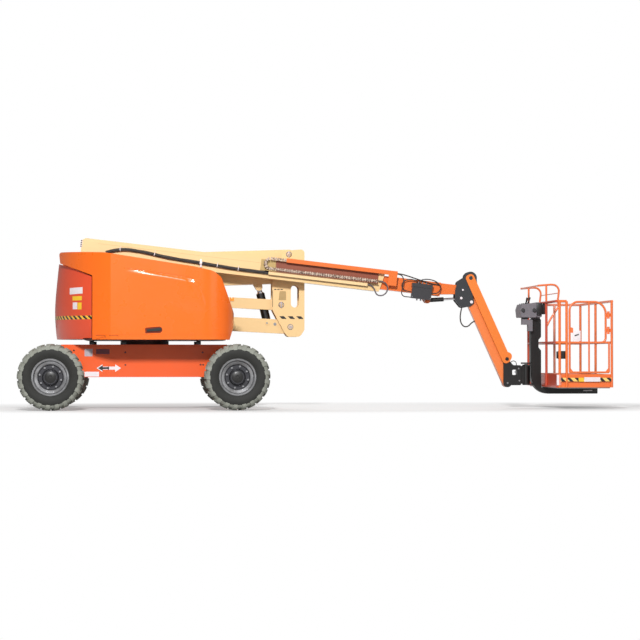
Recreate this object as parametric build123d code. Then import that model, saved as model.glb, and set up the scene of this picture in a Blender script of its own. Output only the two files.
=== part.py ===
"""Articulating boom lift: self-propelled chassis, zero tail-swing turntable, two-stage
riser tower, telescopic main boom, parallelogram jib and a rotating work platform.

Millimetres, +Z up.  The machine is laid out about its swing axis (x = 0) and moved as
a whole by ORIGIN_X, so that the row's origin is on the ground under the middle of its
length.  -X is the steered front axle, +X the platform, -Y the left-hand side.
"""
import os
from math import atan2, cos, degrees, hypot, pi, radians, sin, tan

from build123d import *

# ---------------------------------------------------------------- running clearances
RUN_FIT = 0.08          # radial play of a pin or shaft in its bore
SIDE_GAP = 5.0          # between the cheeks of a pivot and what swings between them
SEAT = 0.3              # play of a sliding or resting piece on its seat
SHUT_GAP = 8.0          # round a hood or a gate

# ---------------------------------------------------------------- chassis and wheels
WHEELBASE = 2340.0
OVERALL_WIDTH = 2340.0
TYRE_RADIUS = 420.0
TYRE_WIDTH = 310.0
BEAD_RADIUS = 222.0     # tyre seat on the rim
RIM_WIDTH = 250.0
RIM_WALL = 9.0
HUB_RADIUS = 102.0      # planetary hub that shows in the middle of the wheel
FRAME_LENGTH = 2120.0
FRAME_WIDTH = 1120.0
FRAME_BOTTOM = 417.0
FRAME_TOP = 834.0
FRAME_PLATE = 20.0
NOSE_WIDTH = 520.0      # narrow ends of the frame that carry the axles
NOSE_PLATE = 30.0
AXLE_HEIGHT = 150.0
AXLE_DEPTH = 150.0
KINGPIN_Y = 800.0
KINGPIN_RADIUS = 28.0
MOTOR_RADIUS = 112.0    # drive motor housing behind each wheel
STEER_ARM = 185.0       # kingpin to tie-rod ball, ahead of the axle
PIVOT_PIN = 38.0        # pin that the front axle rocks on
TIE_ROD_RADIUS = 19.0
STEER_LIMIT = 30.0

SLEW_RADIUS = 315.0
SLEW_BORE = 230.0
SLEW_TOP = 882.0

# ---------------------------------------------------------------- turntable
TAIL_RADIUS = 1165.0    # nothing at the back reaches past this circle
TAIL_CURVE = ((880, 30), (902, 26), (1040, 10), (1200, 0), (1463, 9), (1610, 22), (1900, 52), (2000, 64))
TAIL_WALL = 28.0        # tail wall that closes the boom slot behind
DECK_BOTTOM = 888.0
DECK_PLATE = 26.0
DECK_HALF = 1030.0
TOWER_PLATE = 20.0      # each side plate of the tower
TOWER_Y = 130.0         # middle of the riser tower, beside the boom lane
TOWER_HALF = 130.0      # middle of the tower to the inside of its plates
BOOM_Y = -150.0         # middle of the boom, jib and platform lane
SLOT_NEAR = -400.0      # inner edges of the two hoods, either side of the booms
SLOT_FAR = 400.0
HOOD_HALF = 1085.0
HOOD_SKIN = 10.0
HOOD_FRONT = 1141.0
HOOD_BOTTOM = 895.0
HOOD_SEAM_X = -655.0    # hood to counterweight
HOOD_OPEN = 55.0
HOOD_CREASE = ((-261, 1797), (579, 1686), (780, 1246), (692, 1359), (516, 1661))
CREASE_DEPTH = 4.0
HOOD_GROOVE = 952.0

# ---------------------------------------------------------------- riser tower
RISER_LENGTH = 2400.0
RISER_DROP = 3.0        # degrees below level when stowed, towards the elbow
MID_DROP = 1.9          # degrees below level when stowed, towards the mast
RISER_LIFT = 68.0
LOWER_PIVOT = (-480.0, 1195.0)
LINK_OFFSET = (-121.0, 290.0)      # from a lower-boom pin to the link pin above it
MID_OFFSET = (121.0, 290.0)        # from a mid-boom pin to the link pin above it
RISER_DEPTH = 185.0
RISER_HALF = 100.0      # half width of a riser boom
RISER_WALL = 8.0
LINK_DEPTH = 138.0
LINK_HALF = 78.0
TOWER_PIN = 27.0
ELBOW_RISE = 668.0      # lower-boom pin to mid-boom pin at the elbow
ELBOW_SHIFT = -137.0
SLOT_WIDTH = 107.0      # window in the elbow plates
CYL_FOOT = (-299.0, 60.0)          # riser cylinder pin, from the lower-boom elbow pin
CYL_HEAD = (-273.0, -140.0)        # riser cylinder lug, from the mid-boom elbow pin
RISER_CYL_RADII = (56.0, 45.0, 34.0)

# ---------------------------------------------------------------- main boom
BOOM_DROP = 6.5         # degrees below level when stowed
BOOM_LIFT = 79.0
BOOM_DEPTH = 245.0
BOOM_WIDTH = 200.0
BOOM_WALL = 9.0
BOOM_REAR = -800.0
BOOM_TIP = 3150.0
BOOM_TOP_AT_PIVOT = 2211.0
BOOM_PIVOT_X = -700.0
BOOM_PIVOT_BELOW = 78.0
BOOM_PIN = 32.0
FLY_DEPTH = 179.0
FLY_WIDTH = 150.0
FLY_WALL = 8.0
FLY_REAR = -150.0
FLY_BOX_END = 3900.0    # box section; two narrower nose plates reach on to the knuckle
NOSE_HALF = 55.0
NOSE_SIDE = 16.0
TELESCOPE = 2800.0
CHAIN_THICK = 44.0
CHAIN_WIDTH = 56.0
CHAIN_REAR = 1640.0     # middle of the chain's bend
CHAIN_ANCHOR = 3066.0
TUBE_REAR = 1845.0
TUBE_TIP = 3304.0
TUBE_WALL = 3.0
TRAY_PLATE = 6.0
SHELF_BELOW = 8.0       # underside of the tray's shelf, below the chain's lower run
BUNDLE_RADIUS = 22.5    # hoses tied together along the boom
BUNDLE_ROUTE = ((-503, 2030), (-330, 2084), (-10, 2040), (322, 1961), (711, 1903))
BUNDLE_END = 2930.0
HOSE_CLIP = 3884.0
LOOP_RADIUS = 9.0
FLY_HOSE_RADIUS = 8.0
DROP_HOSE_RADIUS = 6.5
JIB_HOSE_RADIUS = 8.5
ROTATOR_HOSE_RADIUS = 5.0
VALVE_BOX = (3520.0, 3780.0, 85.0, 282.0)   # x along the boom and depth under its top line
VALVE_BOX_WIDE = 75.0
LIFT_FOOT = (270.0, -290.0)        # lift cylinder foot, from the boom pivot
LIFT_HEAD = (1120.0, -100.0)       # lift cylinder lug, from the boom pivot
LIFT_CYL_RADII = (50.0, 34.0)

# ---------------------------------------------------------------- knuckle, jib, rotator
KNUCKLE_PIVOT = (4185.0, 1560.0)
LEVEL_PIN = (4163.0, 1451.0)
LEVEL_FOOT = (3720.0, 1424.0)
LEVEL_CYL_RADII = (28.0, 15.0)
LEVEL_CLOSING = 70.0
JIB_TOP_PIN = (4290.0, 1718.0)
JIB_LOW_PIN = (4300.0, 1400.0)
JIB_VECTOR = (482.0, -1070.0)
JIB_LIFT = 140.0
CHEEK_INNER = 60.0      # cheek plates of the knuckle and of the jib end
CHEEK_OUTER = 75.0
JIB_BOX_HALF = 52.0
JIB_BOX_DEPTH = 112.0
JIB_ARM_INNER = 82.0
JIB_ARM_OUTER = 94.0
JIB_ARM_DEPTH = 114.0
JIB_ARM_BACK = 48.0     # pin line of the upper arm to its back edge
JIB_PIN = 24.0
ROTATOR_X = 5045.0
CHEEK_END = 4967.0
ROTATOR_RADIUS = 52.0
ROTATOR_BOTTOM = 318.0
ROTATOR_TOP = 556.0
EAR_PLATE = 16.0
ROTATE_LIMIT = 90.0

# ---------------------------------------------------------------- work platform
PLATFORM_INNER = 5240.0
PLATFORM_DEPTH = 762.0
PLATFORM_WIDTH = 1830.0
SUPPORT_BOTTOM = 187.0
SUPPORT_DEPTH = 84.0
SUPPORT_HALF = 70.0
DECK_FRAME = 36.0
TREAD_PLATE = 5.0
TOE_BOTTOM = 296.0
TOE_TOP = 453.0
TOE_PLATE = 4.0
FRAME_STEP = 12.0       # edge frame above the underside of the deck
RAIL_RADIUS = 17.0
DECK_INSET = 37.0
RAIL_TOP = 1390.0
RAIL_MID = 860.0
CORNER_INSET = 47.0     # post beside the corner next to the boom
GATE_LEFT = 5420.0
GATE_TUBE = 14.0
GATE_STILE_INSET = 97.0
GATE_HINGE_INSET = 62.0
GATE_OPEN = 85.0
HOOP_TOP = 1625.0
HOOP_NEAR = -450.0      # the two hoops stand on the boom side's posts
HOOP_RADIUS = 13.0
MAST_TOP = 1180.0       # black column behind the console
MAST_DEPTH = 129.0

# ---------------------------------------------------------------- worked out from these
AXLE_X = WHEELBASE / 2
WHEEL_Y = (OVERALL_WIDTH - TYRE_WIDTH) / 2
PLATFORM_OUTER = PLATFORM_INNER + PLATFORM_DEPTH
PLATFORM_NEAR = BOOM_Y - PLATFORM_WIDTH / 2
PLATFORM_FAR = BOOM_Y + PLATFORM_WIDTH / 2
ORIGIN_X = (AXLE_X + TYRE_RADIUS - PLATFORM_OUTER) / 2
BODY_TOP = DECK_BOTTOM + DECK_PLATE


def shifted(point, offset):
    """Point (x, z) moved by an offset (x, z)."""
    return point[0] + offset[0], point[1] + offset[1]


def along(point, length, angle):
    """Point (x, z) at a length from another, at an angle above +X in degrees."""
    return point[0] + length * cos(radians(angle)), point[1] + length * sin(radians(angle))


# Pins of the riser tower, in the X-Z plane.
LOWER_ELBOW = along(LOWER_PIVOT, RISER_LENGTH, -RISER_DROP)
LINK_PIVOT = shifted(LOWER_PIVOT, LINK_OFFSET)
LINK_ELBOW = shifted(LOWER_ELBOW, LINK_OFFSET)
MID_ELBOW = shifted(LOWER_ELBOW, (ELBOW_SHIFT, ELBOW_RISE))
MID_PIVOT = along(MID_ELBOW, RISER_LENGTH, 180 + MID_DROP)
MIDLINK_ELBOW = shifted(MID_ELBOW, MID_OFFSET)
MIDLINK_PIVOT = shifted(MID_PIVOT, MID_OFFSET)
FOOT_PIN = shifted(LOWER_ELBOW, CYL_FOOT)
HEAD_PIN = shifted(MID_ELBOW, CYL_HEAD)

# Boom pins.  boom_point gives a point from x along the boom and a depth under its top.
BOOM_SLOPE = tan(radians(-BOOM_DROP))


def boom_point(x, below):
    """Point in X-Z on a line parallel to the boom, square below its top edge at x."""
    top = BOOM_TOP_AT_PIVOT + (x - BOOM_PIVOT_X) * BOOM_SLOPE
    return x - below * sin(radians(BOOM_DROP)), top - below * cos(radians(BOOM_DROP))


BOOM_PIVOT = boom_point(BOOM_PIVOT_X, BOOM_DEPTH + BOOM_PIVOT_BELOW)
LIFT_FOOT_PIN = shifted(BOOM_PIVOT, LIFT_FOOT)
LIFT_HEAD_PIN = shifted(BOOM_PIVOT, LIFT_HEAD)
JIB_TOP_END = shifted(JIB_TOP_PIN, JIB_VECTOR)
JIB_LOW_END = shifted(JIB_LOW_PIN, JIB_VECTOR)
GATE_HINGE = (PLATFORM_OUTER - GATE_HINGE_INSET, PLATFORM_NEAR + RAIL_RADIUS)


# ================================================================ shape helpers
def outline(points):
    """Flat face from corners (first, second) or (first, second, corner radius)."""
    face = make_face(Polyline(*[(p[0], p[1]) for p in points], close=True))
    for point in points:
        if len(point) > 2:
            corner = face.vertices().sort_by_distance((point[0], point[1], 0))[0]
            face = fillet(corner, point[2])
    return face


def slab(face, low, high):
    """X-Z face made solid between two values of Y."""
    return extrude(Plane.XZ.offset(-high) * face, high - low)


def plan(face, low, high):
    """X-Y face made solid between two heights."""
    return extrude(Pos(0, 0, low) * face, high - low)


def rod(start, end, radius):
    """Round bar between two points in space."""
    axis = Vector(*end) - Vector(*start)
    bar = Cylinder(radius, axis.length, align=(Align.CENTER, Align.CENTER, Align.MIN))
    return Plane(origin=start, z_dir=axis) * bar


def cross_pin(point, radius, low, high):
    """Round bar along Y at a point of the X-Z plane."""
    return rod((point[0], low, point[1]), (point[0], high, point[1]), radius)


def strip(start, end, depth, before=0.0, after=0.0, shift=0.0, radius=0.0):
    """X-Z face of a straight bar between two points, longer at its ends if asked."""
    length = hypot(end[0] - start[0], end[1] - start[1])
    ux, uz = (end[0] - start[0]) / length, (end[1] - start[1]) / length
    face = outline([
        (-before, shift - depth / 2, radius), (length + after, shift - depth / 2, radius),
        (length + after, shift + depth / 2, radius), (-before, shift + depth / 2, radius),
    ] if radius else [
        (-before, shift - depth / 2), (length + after, shift - depth / 2),
        (length + after, shift + depth / 2), (-before, shift + depth / 2),
    ])
    return Pos(start[0], start[1]) * Rot(0, 0, degrees(atan2(uz, ux))) * face


def box(x_low, x_high, y_low, y_high, z_low, z_high):
    """Block between its limits."""
    size = (x_high - x_low, y_high - y_low, z_high - z_low)
    middle = ((x_high + x_low) / 2, (y_high + y_low) / 2, (z_high + z_low) / 2)
    return Pos(*middle) * Box(*size)


def hull_plate(circles):
    """X-Z face round a chain of circles (x, z, radius): discs joined by their tangents."""
    face = None
    for (x1, z1, r1), (x2, z2, r2) in zip(circles, circles[1:]):
        gap = hypot(x2 - x1, z2 - z1)
        turn = degrees(atan2(z2 - z1, x2 - x1))
        lean = (r1 - r2) / gap
        rise = (1 - lean * lean) ** 0.5
        web = make_face(Polyline(
            (r1 * lean, r1 * rise), (gap + r2 * lean, r2 * rise),
            (gap + r2 * lean, -r2 * rise), (r1 * lean, -r1 * rise), close=True))
        web = Pos(x1, z1) * Rot(0, 0, turn) * web
        disc = web + Pos(x1, z1) * Circle(r1) + Pos(x2, z2) * Circle(r2)
        face = disc if face is None else face + disc
    return face


def around(centre, radius, start, stop, count):
    """Corners (x, z) of the straight runs that wrap an arc between two angles."""
    step = (stop - start) / count
    reach = radius / cos(radians(step / 2))
    return [along(centre, reach, start + (index + 0.5) * step) for index in range(count)]


def hose(points, radius):
    """Round hose: straight runs joined by arcs as large as the two runs allow."""
    corners = [Vector(*point) for point in points]
    bends = []
    for before, corner, after in zip(corners, corners[1:], corners[2:]):
        turn = (corner - before).get_angle(after - corner)
        shorter = min((corner - before).length, (after - corner).length)
        bends.append(0.45 * shorter / tan(radians(turn / 2)))
    path = FilletPolyline(*points, radius=bends)
    tube = sweep(Plane(origin=path @ 0, z_dir=path % 0) * Circle(radius), path)
    print("hose", round(path.length), "mm, radii", [round(bend) for bend in bends],
          "volume over section times length", round(tube.volume / (pi * radius ** 2 * path.length), 4))
    return tube


def mirrored(solid):
    """The same solid on the other side of the machine."""
    return mirror(solid, about=Plane.XZ)


# ================================================================ chassis
def frame_end(side):
    """Narrow end of the frame: an arch of plates astride the axle."""
    x = side * AXLE_X
    half = AXLE_DEPTH / 2 + SIDE_GAP
    top = FRAME_TOP - 110
    inner = side * FRAME_LENGTH / 2
    outer = x + side * (half + NOSE_PLATE)
    roof = box(min(inner, outer), max(inner, outer), -NOSE_WIDTH / 2, NOSE_WIDTH / 2, top - NOSE_PLATE, top)
    arch = roof
    for edge in (x - half - NOSE_PLATE, x + half):
        face = outline([
            (-NOSE_WIDTH / 2, top - NOSE_PLATE), (NOSE_WIDTH / 2, top - NOSE_PLATE),
            (NOSE_WIDTH / 2, 560), (130, 330, 60), (-130, 330, 60), (-NOSE_WIDTH / 2, 560)])
        arch += extrude(Plane.YZ.offset(edge) * face, NOSE_PLATE)
    return arch


def chassis_frame():
    """Box frame with open belly, arched ends over the axles, bearing seat and tie-downs."""
    half_l, half_w = FRAME_LENGTH / 2, FRAME_WIDTH / 2
    shell = box(-half_l, half_l, -half_w, half_w, FRAME_BOTTOM, FRAME_TOP)
    shell -= box(-half_l + FRAME_PLATE, half_l - FRAME_PLATE, -half_w + FRAME_PLATE,
                 half_w - FRAME_PLATE, FRAME_BOTTOM + FRAME_PLATE, FRAME_TOP - FRAME_PLATE)
    for x in (-half_l / 2, half_l / 2):
        belly = RectangleRounded(half_l - 240, FRAME_WIDTH - 320, 120)
        shell -= plan(Pos(x, 0) * belly, FRAME_BOTTOM - 1, FRAME_BOTTOM + FRAME_PLATE + 1)
    shell -= Pos(0, 0, FRAME_TOP) * Cylinder(SLEW_BORE - 40, 4 * FRAME_PLATE)
    for side in (-1, 1):
        shell += frame_end(side)
    for side in (-1, 1):
        for x in (-half_l + 90, half_l - 90):
            shell += tie_down(x, side)
    return shell - rod((-AXLE_X - 200, 0, TYRE_RADIUS), (-AXLE_X + 200, 0, TYRE_RADIUS), PIVOT_PIN + RUN_FIT)


TIE_DOWN_BORE = 26.0
TIE_DOWN_PLATE = 22.0


def tie_down(x, side):
    """Lug that stands out of the frame's side, with a hole for a shackle."""
    y = side * (FRAME_WIDTH / 2 + 45)
    z = FRAME_BOTTOM + 70
    face = outline([(0, z - 60), (75, z - 60, 40), (75, z + 60, 40), (0, z + 60)])
    lug = extrude(Plane.YZ.offset(x - TIE_DOWN_PLATE / 2) * face, TIE_DOWN_PLATE)
    if side > 0:
        lug = Pos(0, FRAME_WIDTH / 2, 0) * lug
    else:
        lug = mirror(Pos(0, FRAME_WIDTH / 2, 0) * lug, about=Plane.XZ)
    return lug - rod((x - 30, y, z), (x + 30, y, z), TIE_DOWN_BORE)


def slew_ring():
    """Outer ring of the swing bearing, bolted to the frame."""
    ring = Cylinder(SLEW_RADIUS, SLEW_TOP - FRAME_TOP) - Cylinder(SLEW_BORE, SLEW_TOP)
    return Pos(0, 0, (SLEW_TOP + FRAME_TOP) / 2) * ring


def front_axle():
    """Oscillating steer axle with its centre pin, yokes and steering cylinder."""
    z = TYRE_RADIUS
    beam = Pos(-AXLE_X, 0, z) * Box(AXLE_DEPTH, 2 * (KINGPIN_Y - 95), AXLE_HEIGHT)
    beam += rod((-AXLE_X - AXLE_DEPTH / 2 - SIDE_GAP - NOSE_PLATE, 0, z),
                (-AXLE_X + AXLE_DEPTH / 2 + SIDE_GAP + NOSE_PLATE, 0, z), PIVOT_PIN)
    for side in (-1, 1):
        y = side * KINGPIN_Y
        back = Pos(-AXLE_X, side * (KINGPIN_Y - 105), z) * Box(AXLE_DEPTH - 20, 40, 330)
        ears = Pos(-AXLE_X, side * (KINGPIN_Y - 40), z + 145) * Box(110, 120, 40)
        ears += Pos(-AXLE_X, side * (KINGPIN_Y - 40), z - 145) * Box(110, 120, 40)
        ears += Pos(-AXLE_X, y, z + 145) * Cylinder(55, 40)
        ears += Pos(-AXLE_X, y, z - 145) * Cylinder(55, 40)
        beam += back + ears
        beam -= rod((-AXLE_X, y, z - 200), (-AXLE_X, y, z + 200), KINGPIN_RADIUS + RUN_FIT)
    return beam


def steer_arm_end(side):
    """Tie-rod ball position (x, y) of a knuckle."""
    return -AXLE_X - STEER_ARM, side * KINGPIN_Y


def steer_knuckle(side):
    """Swivel with its kingpin, drive motor housing, wheel spindle and steering arm."""
    z = TYRE_RADIUS
    y = side * KINGPIN_Y
    body = Pos(-AXLE_X, y, z) * Cylinder(62, 2 * (125 - SIDE_GAP))
    body += rod((-AXLE_X, y, z - 165), (-AXLE_X, y, z + 165), KINGPIN_RADIUS)
    body += drive_motor(-AXLE_X, side)
    ball_x, ball_y = steer_arm_end(side)
    arm = hull_plate([(-AXLE_X, y, 36), (ball_x, ball_y, 24)])
    body += plan(arm, z + 62, z + 84)
    body += rod((ball_x, ball_y, z + 40), (ball_x, ball_y, z + 62), 14)
    return body


def drive_motor(x, side):
    """Motor housing and spindle that carry one wheel."""
    z = TYRE_RADIUS
    inner = side * (KINGPIN_Y + 20)
    flange = side * (WHEEL_Y - 20)
    body = rod((x, inner, z), (x, flange, z), MOTOR_RADIUS)
    body += rod((x, flange, z), (x, side * (WHEEL_Y + 95), z), SPINDLE_RADIUS)
    return body


SPINDLE_RADIUS = 48.0


def tie_rod():
    """Bar across the axle with flat pads under the ball studs of both arms."""
    z = TYRE_RADIUS + 40 - SEAT
    x, y = steer_arm_end(1)
    bar = rod((x, -y + 20, z - TIE_ROD_RADIUS), (x, y - 20, z - TIE_ROD_RADIUS), TIE_ROD_RADIUS)
    for side in (-1, 1):
        pad = Pos(x + 10, side * y) * RectangleRounded(84, 70, 20)
        bar += plan(pad, z - 2 * TIE_ROD_RADIUS, z)
    return bar


def rear_axle():
    """Rigid drive axle bolted into the frame, with a motor housing at each end."""
    z = TYRE_RADIUS
    beam = Pos(AXLE_X, 0, z) * Box(AXLE_DEPTH, 2 * (KINGPIN_Y - 20), AXLE_HEIGHT)
    beam += box(AXLE_X - AXLE_DEPTH / 2, AXLE_X + AXLE_DEPTH / 2, -NOSE_WIDTH / 2 + 40,
                NOSE_WIDTH / 2 - 40, z, FRAME_TOP - 110 - NOSE_PLATE)
    for side in (-1, 1):
        beam += rod((AXLE_X, side * (KINGPIN_Y - 60), z), (AXLE_X, side * (KINGPIN_Y + 30), z), 130)
        beam += drive_motor(AXLE_X, side)
    return beam


def wheel_turned(profile, x, side):
    """Profile of (outward, radius) points turned about the wheel's own axle."""
    face = make_face(Plane.YZ * Polyline(*[(p[0], p[1]) for p in profile], close=True))
    ring = revolve(face, Axis.Y)
    if side < 0:
        ring = mirrored(ring)
    return Pos(x, side * WHEEL_Y, TYRE_RADIUS) * ring


def tyre(x, side):
    """Wide foam-filled tyre with rounded shoulders."""
    half = TYRE_WIDTH / 2
    return wheel_turned([
        (-half + 30, BEAD_RADIUS), (-half + 6, 262), (-half, 318), (-half + 8, 366),
        (-half + 34, 402), (-half + 70, 415), (-half + 110, TYRE_RADIUS),
        (half - 110, TYRE_RADIUS), (half - 70, 415), (half - 34, 402), (half - 8, 366),
        (half, 318), (half - 6, 262), (half - 30, BEAD_RADIUS)], x, side)


def rim(x, side):
    """Dished rim with its barrel, disc and the planetary hub cover bolted through it."""
    half = RIM_WIDTH / 2
    seat = BEAD_RADIUS
    bore = SPINDLE_RADIUS + RUN_FIT
    ring = wheel_turned([
        (-half, seat - RIM_WALL), (-half, seat), (half, seat), (half + 12, seat + 14),
        (half + 18, seat + 8), (half + 6, seat - RIM_WALL), (60, seat - RIM_WALL - 14),
        (38, 160), (30, 150), (30, 118), (22, HUB_RADIUS + 10), (22, bore), (8, bore),
        (8, 170), (30, seat - RIM_WALL - 24), (30, seat - RIM_WALL)], x, side)
    hub = wheel_turned([
        (22, bore), (22, 118), (34, 118), (34, HUB_RADIUS), (84, HUB_RADIUS - 6),
        (96, HUB_RADIUS - 20), (96, bore)], x, side)
    return ring + hub


# ================================================================ turntable
def tail_face(half_width, rear, front, front_radius, edge=0.0):
    """Plan of the bodywork: the tail circle behind, rounded corners in front."""
    face = outline([
        (rear, -half_width), (front - edge, -half_width, front_radius),
        (front - edge, half_width, front_radius), (rear, half_width)])
    return face & Circle(TAIL_RADIUS - edge) + Pos(front / 2 + 200, 0) * Rectangle(front + 400, 3000)


def turntable_base():
    """Deck over the bearing with the two tower plates and the side walls of the slot."""
    hub = Pos(0, 0, (SLEW_TOP + SEAT + DECK_BOTTOM) / 2) * Cylinder(SLEW_RADIUS - 12, DECK_BOTTOM - SLEW_TOP - SEAT)
    deck = plan(outline([
        (-760, -700, 60), (-640, -DECK_HALF, 60), (860, -DECK_HALF, 260), (1040, -620, 120),
        (1040, 620, 120), (860, DECK_HALF, 260), (-640, DECK_HALF, 60), (-760, 700, 60)]),
        DECK_BOTTOM, BODY_TOP)
    deck &= plan(Circle(TAIL_RADIUS - 3 * HOOD_SKIN) + Pos(500, 0) * Rectangle(1000, 2400), DECK_BOTTOM, BODY_TOP)
    base = hub + deck
    plate = hull_plate([(*LINK_PIVOT, 68), (*LOWER_PIVOT, 92)])
    web = make_face(Polyline(
        (LINK_PIVOT[0] - 60, LINK_PIVOT[1] - 20), (LOWER_PIVOT[0] + 90, LOWER_PIVOT[1] + 10),
        (LOWER_PIVOT[0] + 420, BODY_TOP), (LINK_PIVOT[0] - 130, BODY_TOP), close=True))
    for y in (TOWER_Y - TOWER_HALF - TOWER_PLATE, TOWER_Y + TOWER_HALF):
        base += slab(plate, y, y + TOWER_PLATE) + slab(web, y, y + TOWER_PLATE)
    for low, high in ((SLOT_NEAR + 15, SLOT_NEAR + 27), (SLOT_FAR - 27, SLOT_FAR - 15)):
        wall = outline([(-740, BODY_TOP), (980, BODY_TOP), (980, 1180, 60), (760, 1560, 80),
                        (-560, 1820, 60), (-740, 1820, 60)])
        base += slab(wall, low, high)
    for pin in (LOWER_PIVOT, LINK_PIVOT):
        base += cross_pin(pin, TOWER_PIN, TOWER_Y - TOWER_HALF - TOWER_PLATE - 6,
                          TOWER_Y + TOWER_HALF + TOWER_PLATE + 6)
    posts = hinge_posts()
    return base + posts + mirrored(posts)


def tail_barrel():
    """Barrel about the swing axis that the back face of the counterweight follows."""
    edge = Spline(*[(TAIL_RADIUS - inset, height) for height, inset in TAIL_CURVE])
    low, high = TAIL_CURVE[0][0], TAIL_CURVE[-1][0]
    face = make_face(Plane.XZ * (edge + Polyline(edge @ 1, (0, high), (0, low), edge @ 0)))
    return revolve(face, Axis.Z)


def counterweight():
    """Cast tail weight, curved to the tail circle, lower between the two sides."""
    side_face = outline([
        (-1300, 902), (HOOD_SEAM_X - SHUT_GAP, 902), (HOOD_SEAM_X - SHUT_GAP, 1703 - SHUT_GAP),
        (-1082, 1877 - SHUT_GAP), (-1300, 1960)])
    block = slab(side_face, -(HOOD_HALF - 40), HOOD_HALF - 40) & tail_barrel()
    wall = TAIL_RADIUS - TAIL_CURVE[-2][1] - TAIL_WALL
    slot = Circle(wall) & Pos(-wall / 2, (SLOT_NEAR + SLOT_FAR) / 2) * Rectangle(wall, SLOT_FAR - SLOT_NEAR)
    block -= plan(slot, 1640, 2100)
    block -= box(-770, HOOD_SEAM_X, SLOT_NEAR + 12, SLOT_FAR - 12, BODY_TOP, 2100)
    block -= box(-770, HOOD_SEAM_X, -DECK_HALF - 200, DECK_HALF + 200, 880, BODY_TOP)
    return block


HOOD_PROFILE = [
    (HOOD_SEAM_X, HOOD_BOTTOM), (HOOD_SEAM_X, 1703), (-1082, 1877), (-1100, 2018, 30),
    (-519, 1992), (633, 1816, 300), (869, 1762, 150), (970, 1683, 90), (1060, 1441, 60),
    (1141, 1225, 60), (1141, 1081, 60), (1079, HOOD_BOTTOM)]


def hood_profile_inner():
    """Side profile of the inside of a hood, one skin smaller, open below and at the seam."""
    t = HOOD_SKIN
    return outline([
        (HOOD_SEAM_X - 5, HOOD_BOTTOM - 50), (HOOD_SEAM_X - 5, 1703 + t + 3), (-1082 + 6, 1877 + t + 3),
        (-1100 + t, 2018 - t), (-519, 1992 - t), (633 - 4, 1816 - t - 2), (869 - 6, 1762 - t),
        (970 - t, 1683 - 6), (1060 - t, 1441 - 3), (1141 - t, 1225 - 2), (1141 - t, 1081),
        (1079 - t, HOOD_BOTTOM), (1079 - t, HOOD_BOTTOM - 50)])


def hood_plan(inset):
    """Plan of one side of the bodywork from the slot outwards."""
    half = HOOD_HALF - inset
    face = outline([
        (-1200, 0), (-1200, half), (HOOD_FRONT - inset, half, 420 - inset), (HOOD_FRONT - inset, 0)])
    tail = Circle(TAIL_RADIUS - inset) + Pos(1000, 0) * Rectangle(2400, 3000)
    return face & tail


def hood(side):
    """Gull-wing hood of one side: thin shell, open below and towards the booms."""
    slot = abs(SLOT_NEAR) if side < 0 else SLOT_FAR
    shell = slab(outline(HOOD_PROFILE), slot, 1300) & plan(hood_plan(0), 800, 2200)
    hollow = slab(hood_profile_inner(), slot - 50, 1300) & plan(hood_plan(HOOD_SKIN), 800, 2200)
    shell -= hollow
    shell -= slab(outline(HOOD_CREASE), HOOD_HALF - CREASE_DEPTH, HOOD_HALF + 50)
    shell -= plan(hood_plan(-20) - hood_plan(CREASE_DEPTH - 1), HOOD_GROOVE, HOOD_GROOVE + 5)
    for station in HINGE_STATIONS:
        shell -= hinge_tube(station - KNUCKLE_HALF - SEAT, station + KNUCKLE_HALF + SEAT, slot, HINGE_TUBE + 2)
        shell += hinge_tube(station - KNUCKLE_HALF - SEAT - 60, station - KNUCKLE_HALF - SEAT, slot, HINGE_TUBE)
        shell += hinge_tube(station + KNUCKLE_HALF + SEAT, station + KNUCKLE_HALF + SEAT + 60, slot, HINGE_TUBE)
    if side < 0:
        shell = mirrored(shell)
    return shell


HOOD_HINGE = (0.0, 1992.0 - (0.0 + 519.0) * (1992.0 - 1816.0) / (633.0 + 519.0) - 6.0)
HOOD_AXIS = (633.0 + 519.0, 1816.0 - 1992.0)
HINGE_STATIONS = (-440.0, 520.0)
KNUCKLE_HALF = 22.0
HINGE_TUBE = 8.0


def hinge_tube(start, end, y, radius):
    """Rod on a hood's hinge axis between two distances from the swing axis."""
    length = hypot(*HOOD_AXIS)
    ends = [(s * HOOD_AXIS[0] / length, y, HOOD_HINGE[1] + s * HOOD_AXIS[1] / length) for s in (start, end)]
    return rod(ends[0], ends[1], radius)


def hinge_posts():
    """Posts on the deck that carry the hood hinges, right side."""
    solid = None
    for station in HINGE_STATIONS:
        x = station * HOOD_AXIS[0] / hypot(*HOOD_AXIS)
        top = HOOD_HINGE[1] + station * HOOD_AXIS[1] / hypot(*HOOD_AXIS)
        post = box(x - 18, x + 18, SLOT_FAR - 34, SLOT_FAR - 4, BODY_TOP - 4, top + 1)
        post += hinge_tube(station - KNUCKLE_HALF, station + KNUCKLE_HALF, SLOT_FAR, HINGE_TUBE)
        solid = post if solid is None else solid + post
    return solid


def battery_pack():
    """Traction batteries in their tray under the left hood."""
    return box(-520, 760, -960, -470, BODY_TOP, 1330)


def hydraulic_unit():
    """Pump, motor and oil tank under the right hood."""
    unit = box(-420, 300, 470, 900, BODY_TOP, 1420)
    return unit + box(290, 760, 500, 880, BODY_TOP, 1260)


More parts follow.
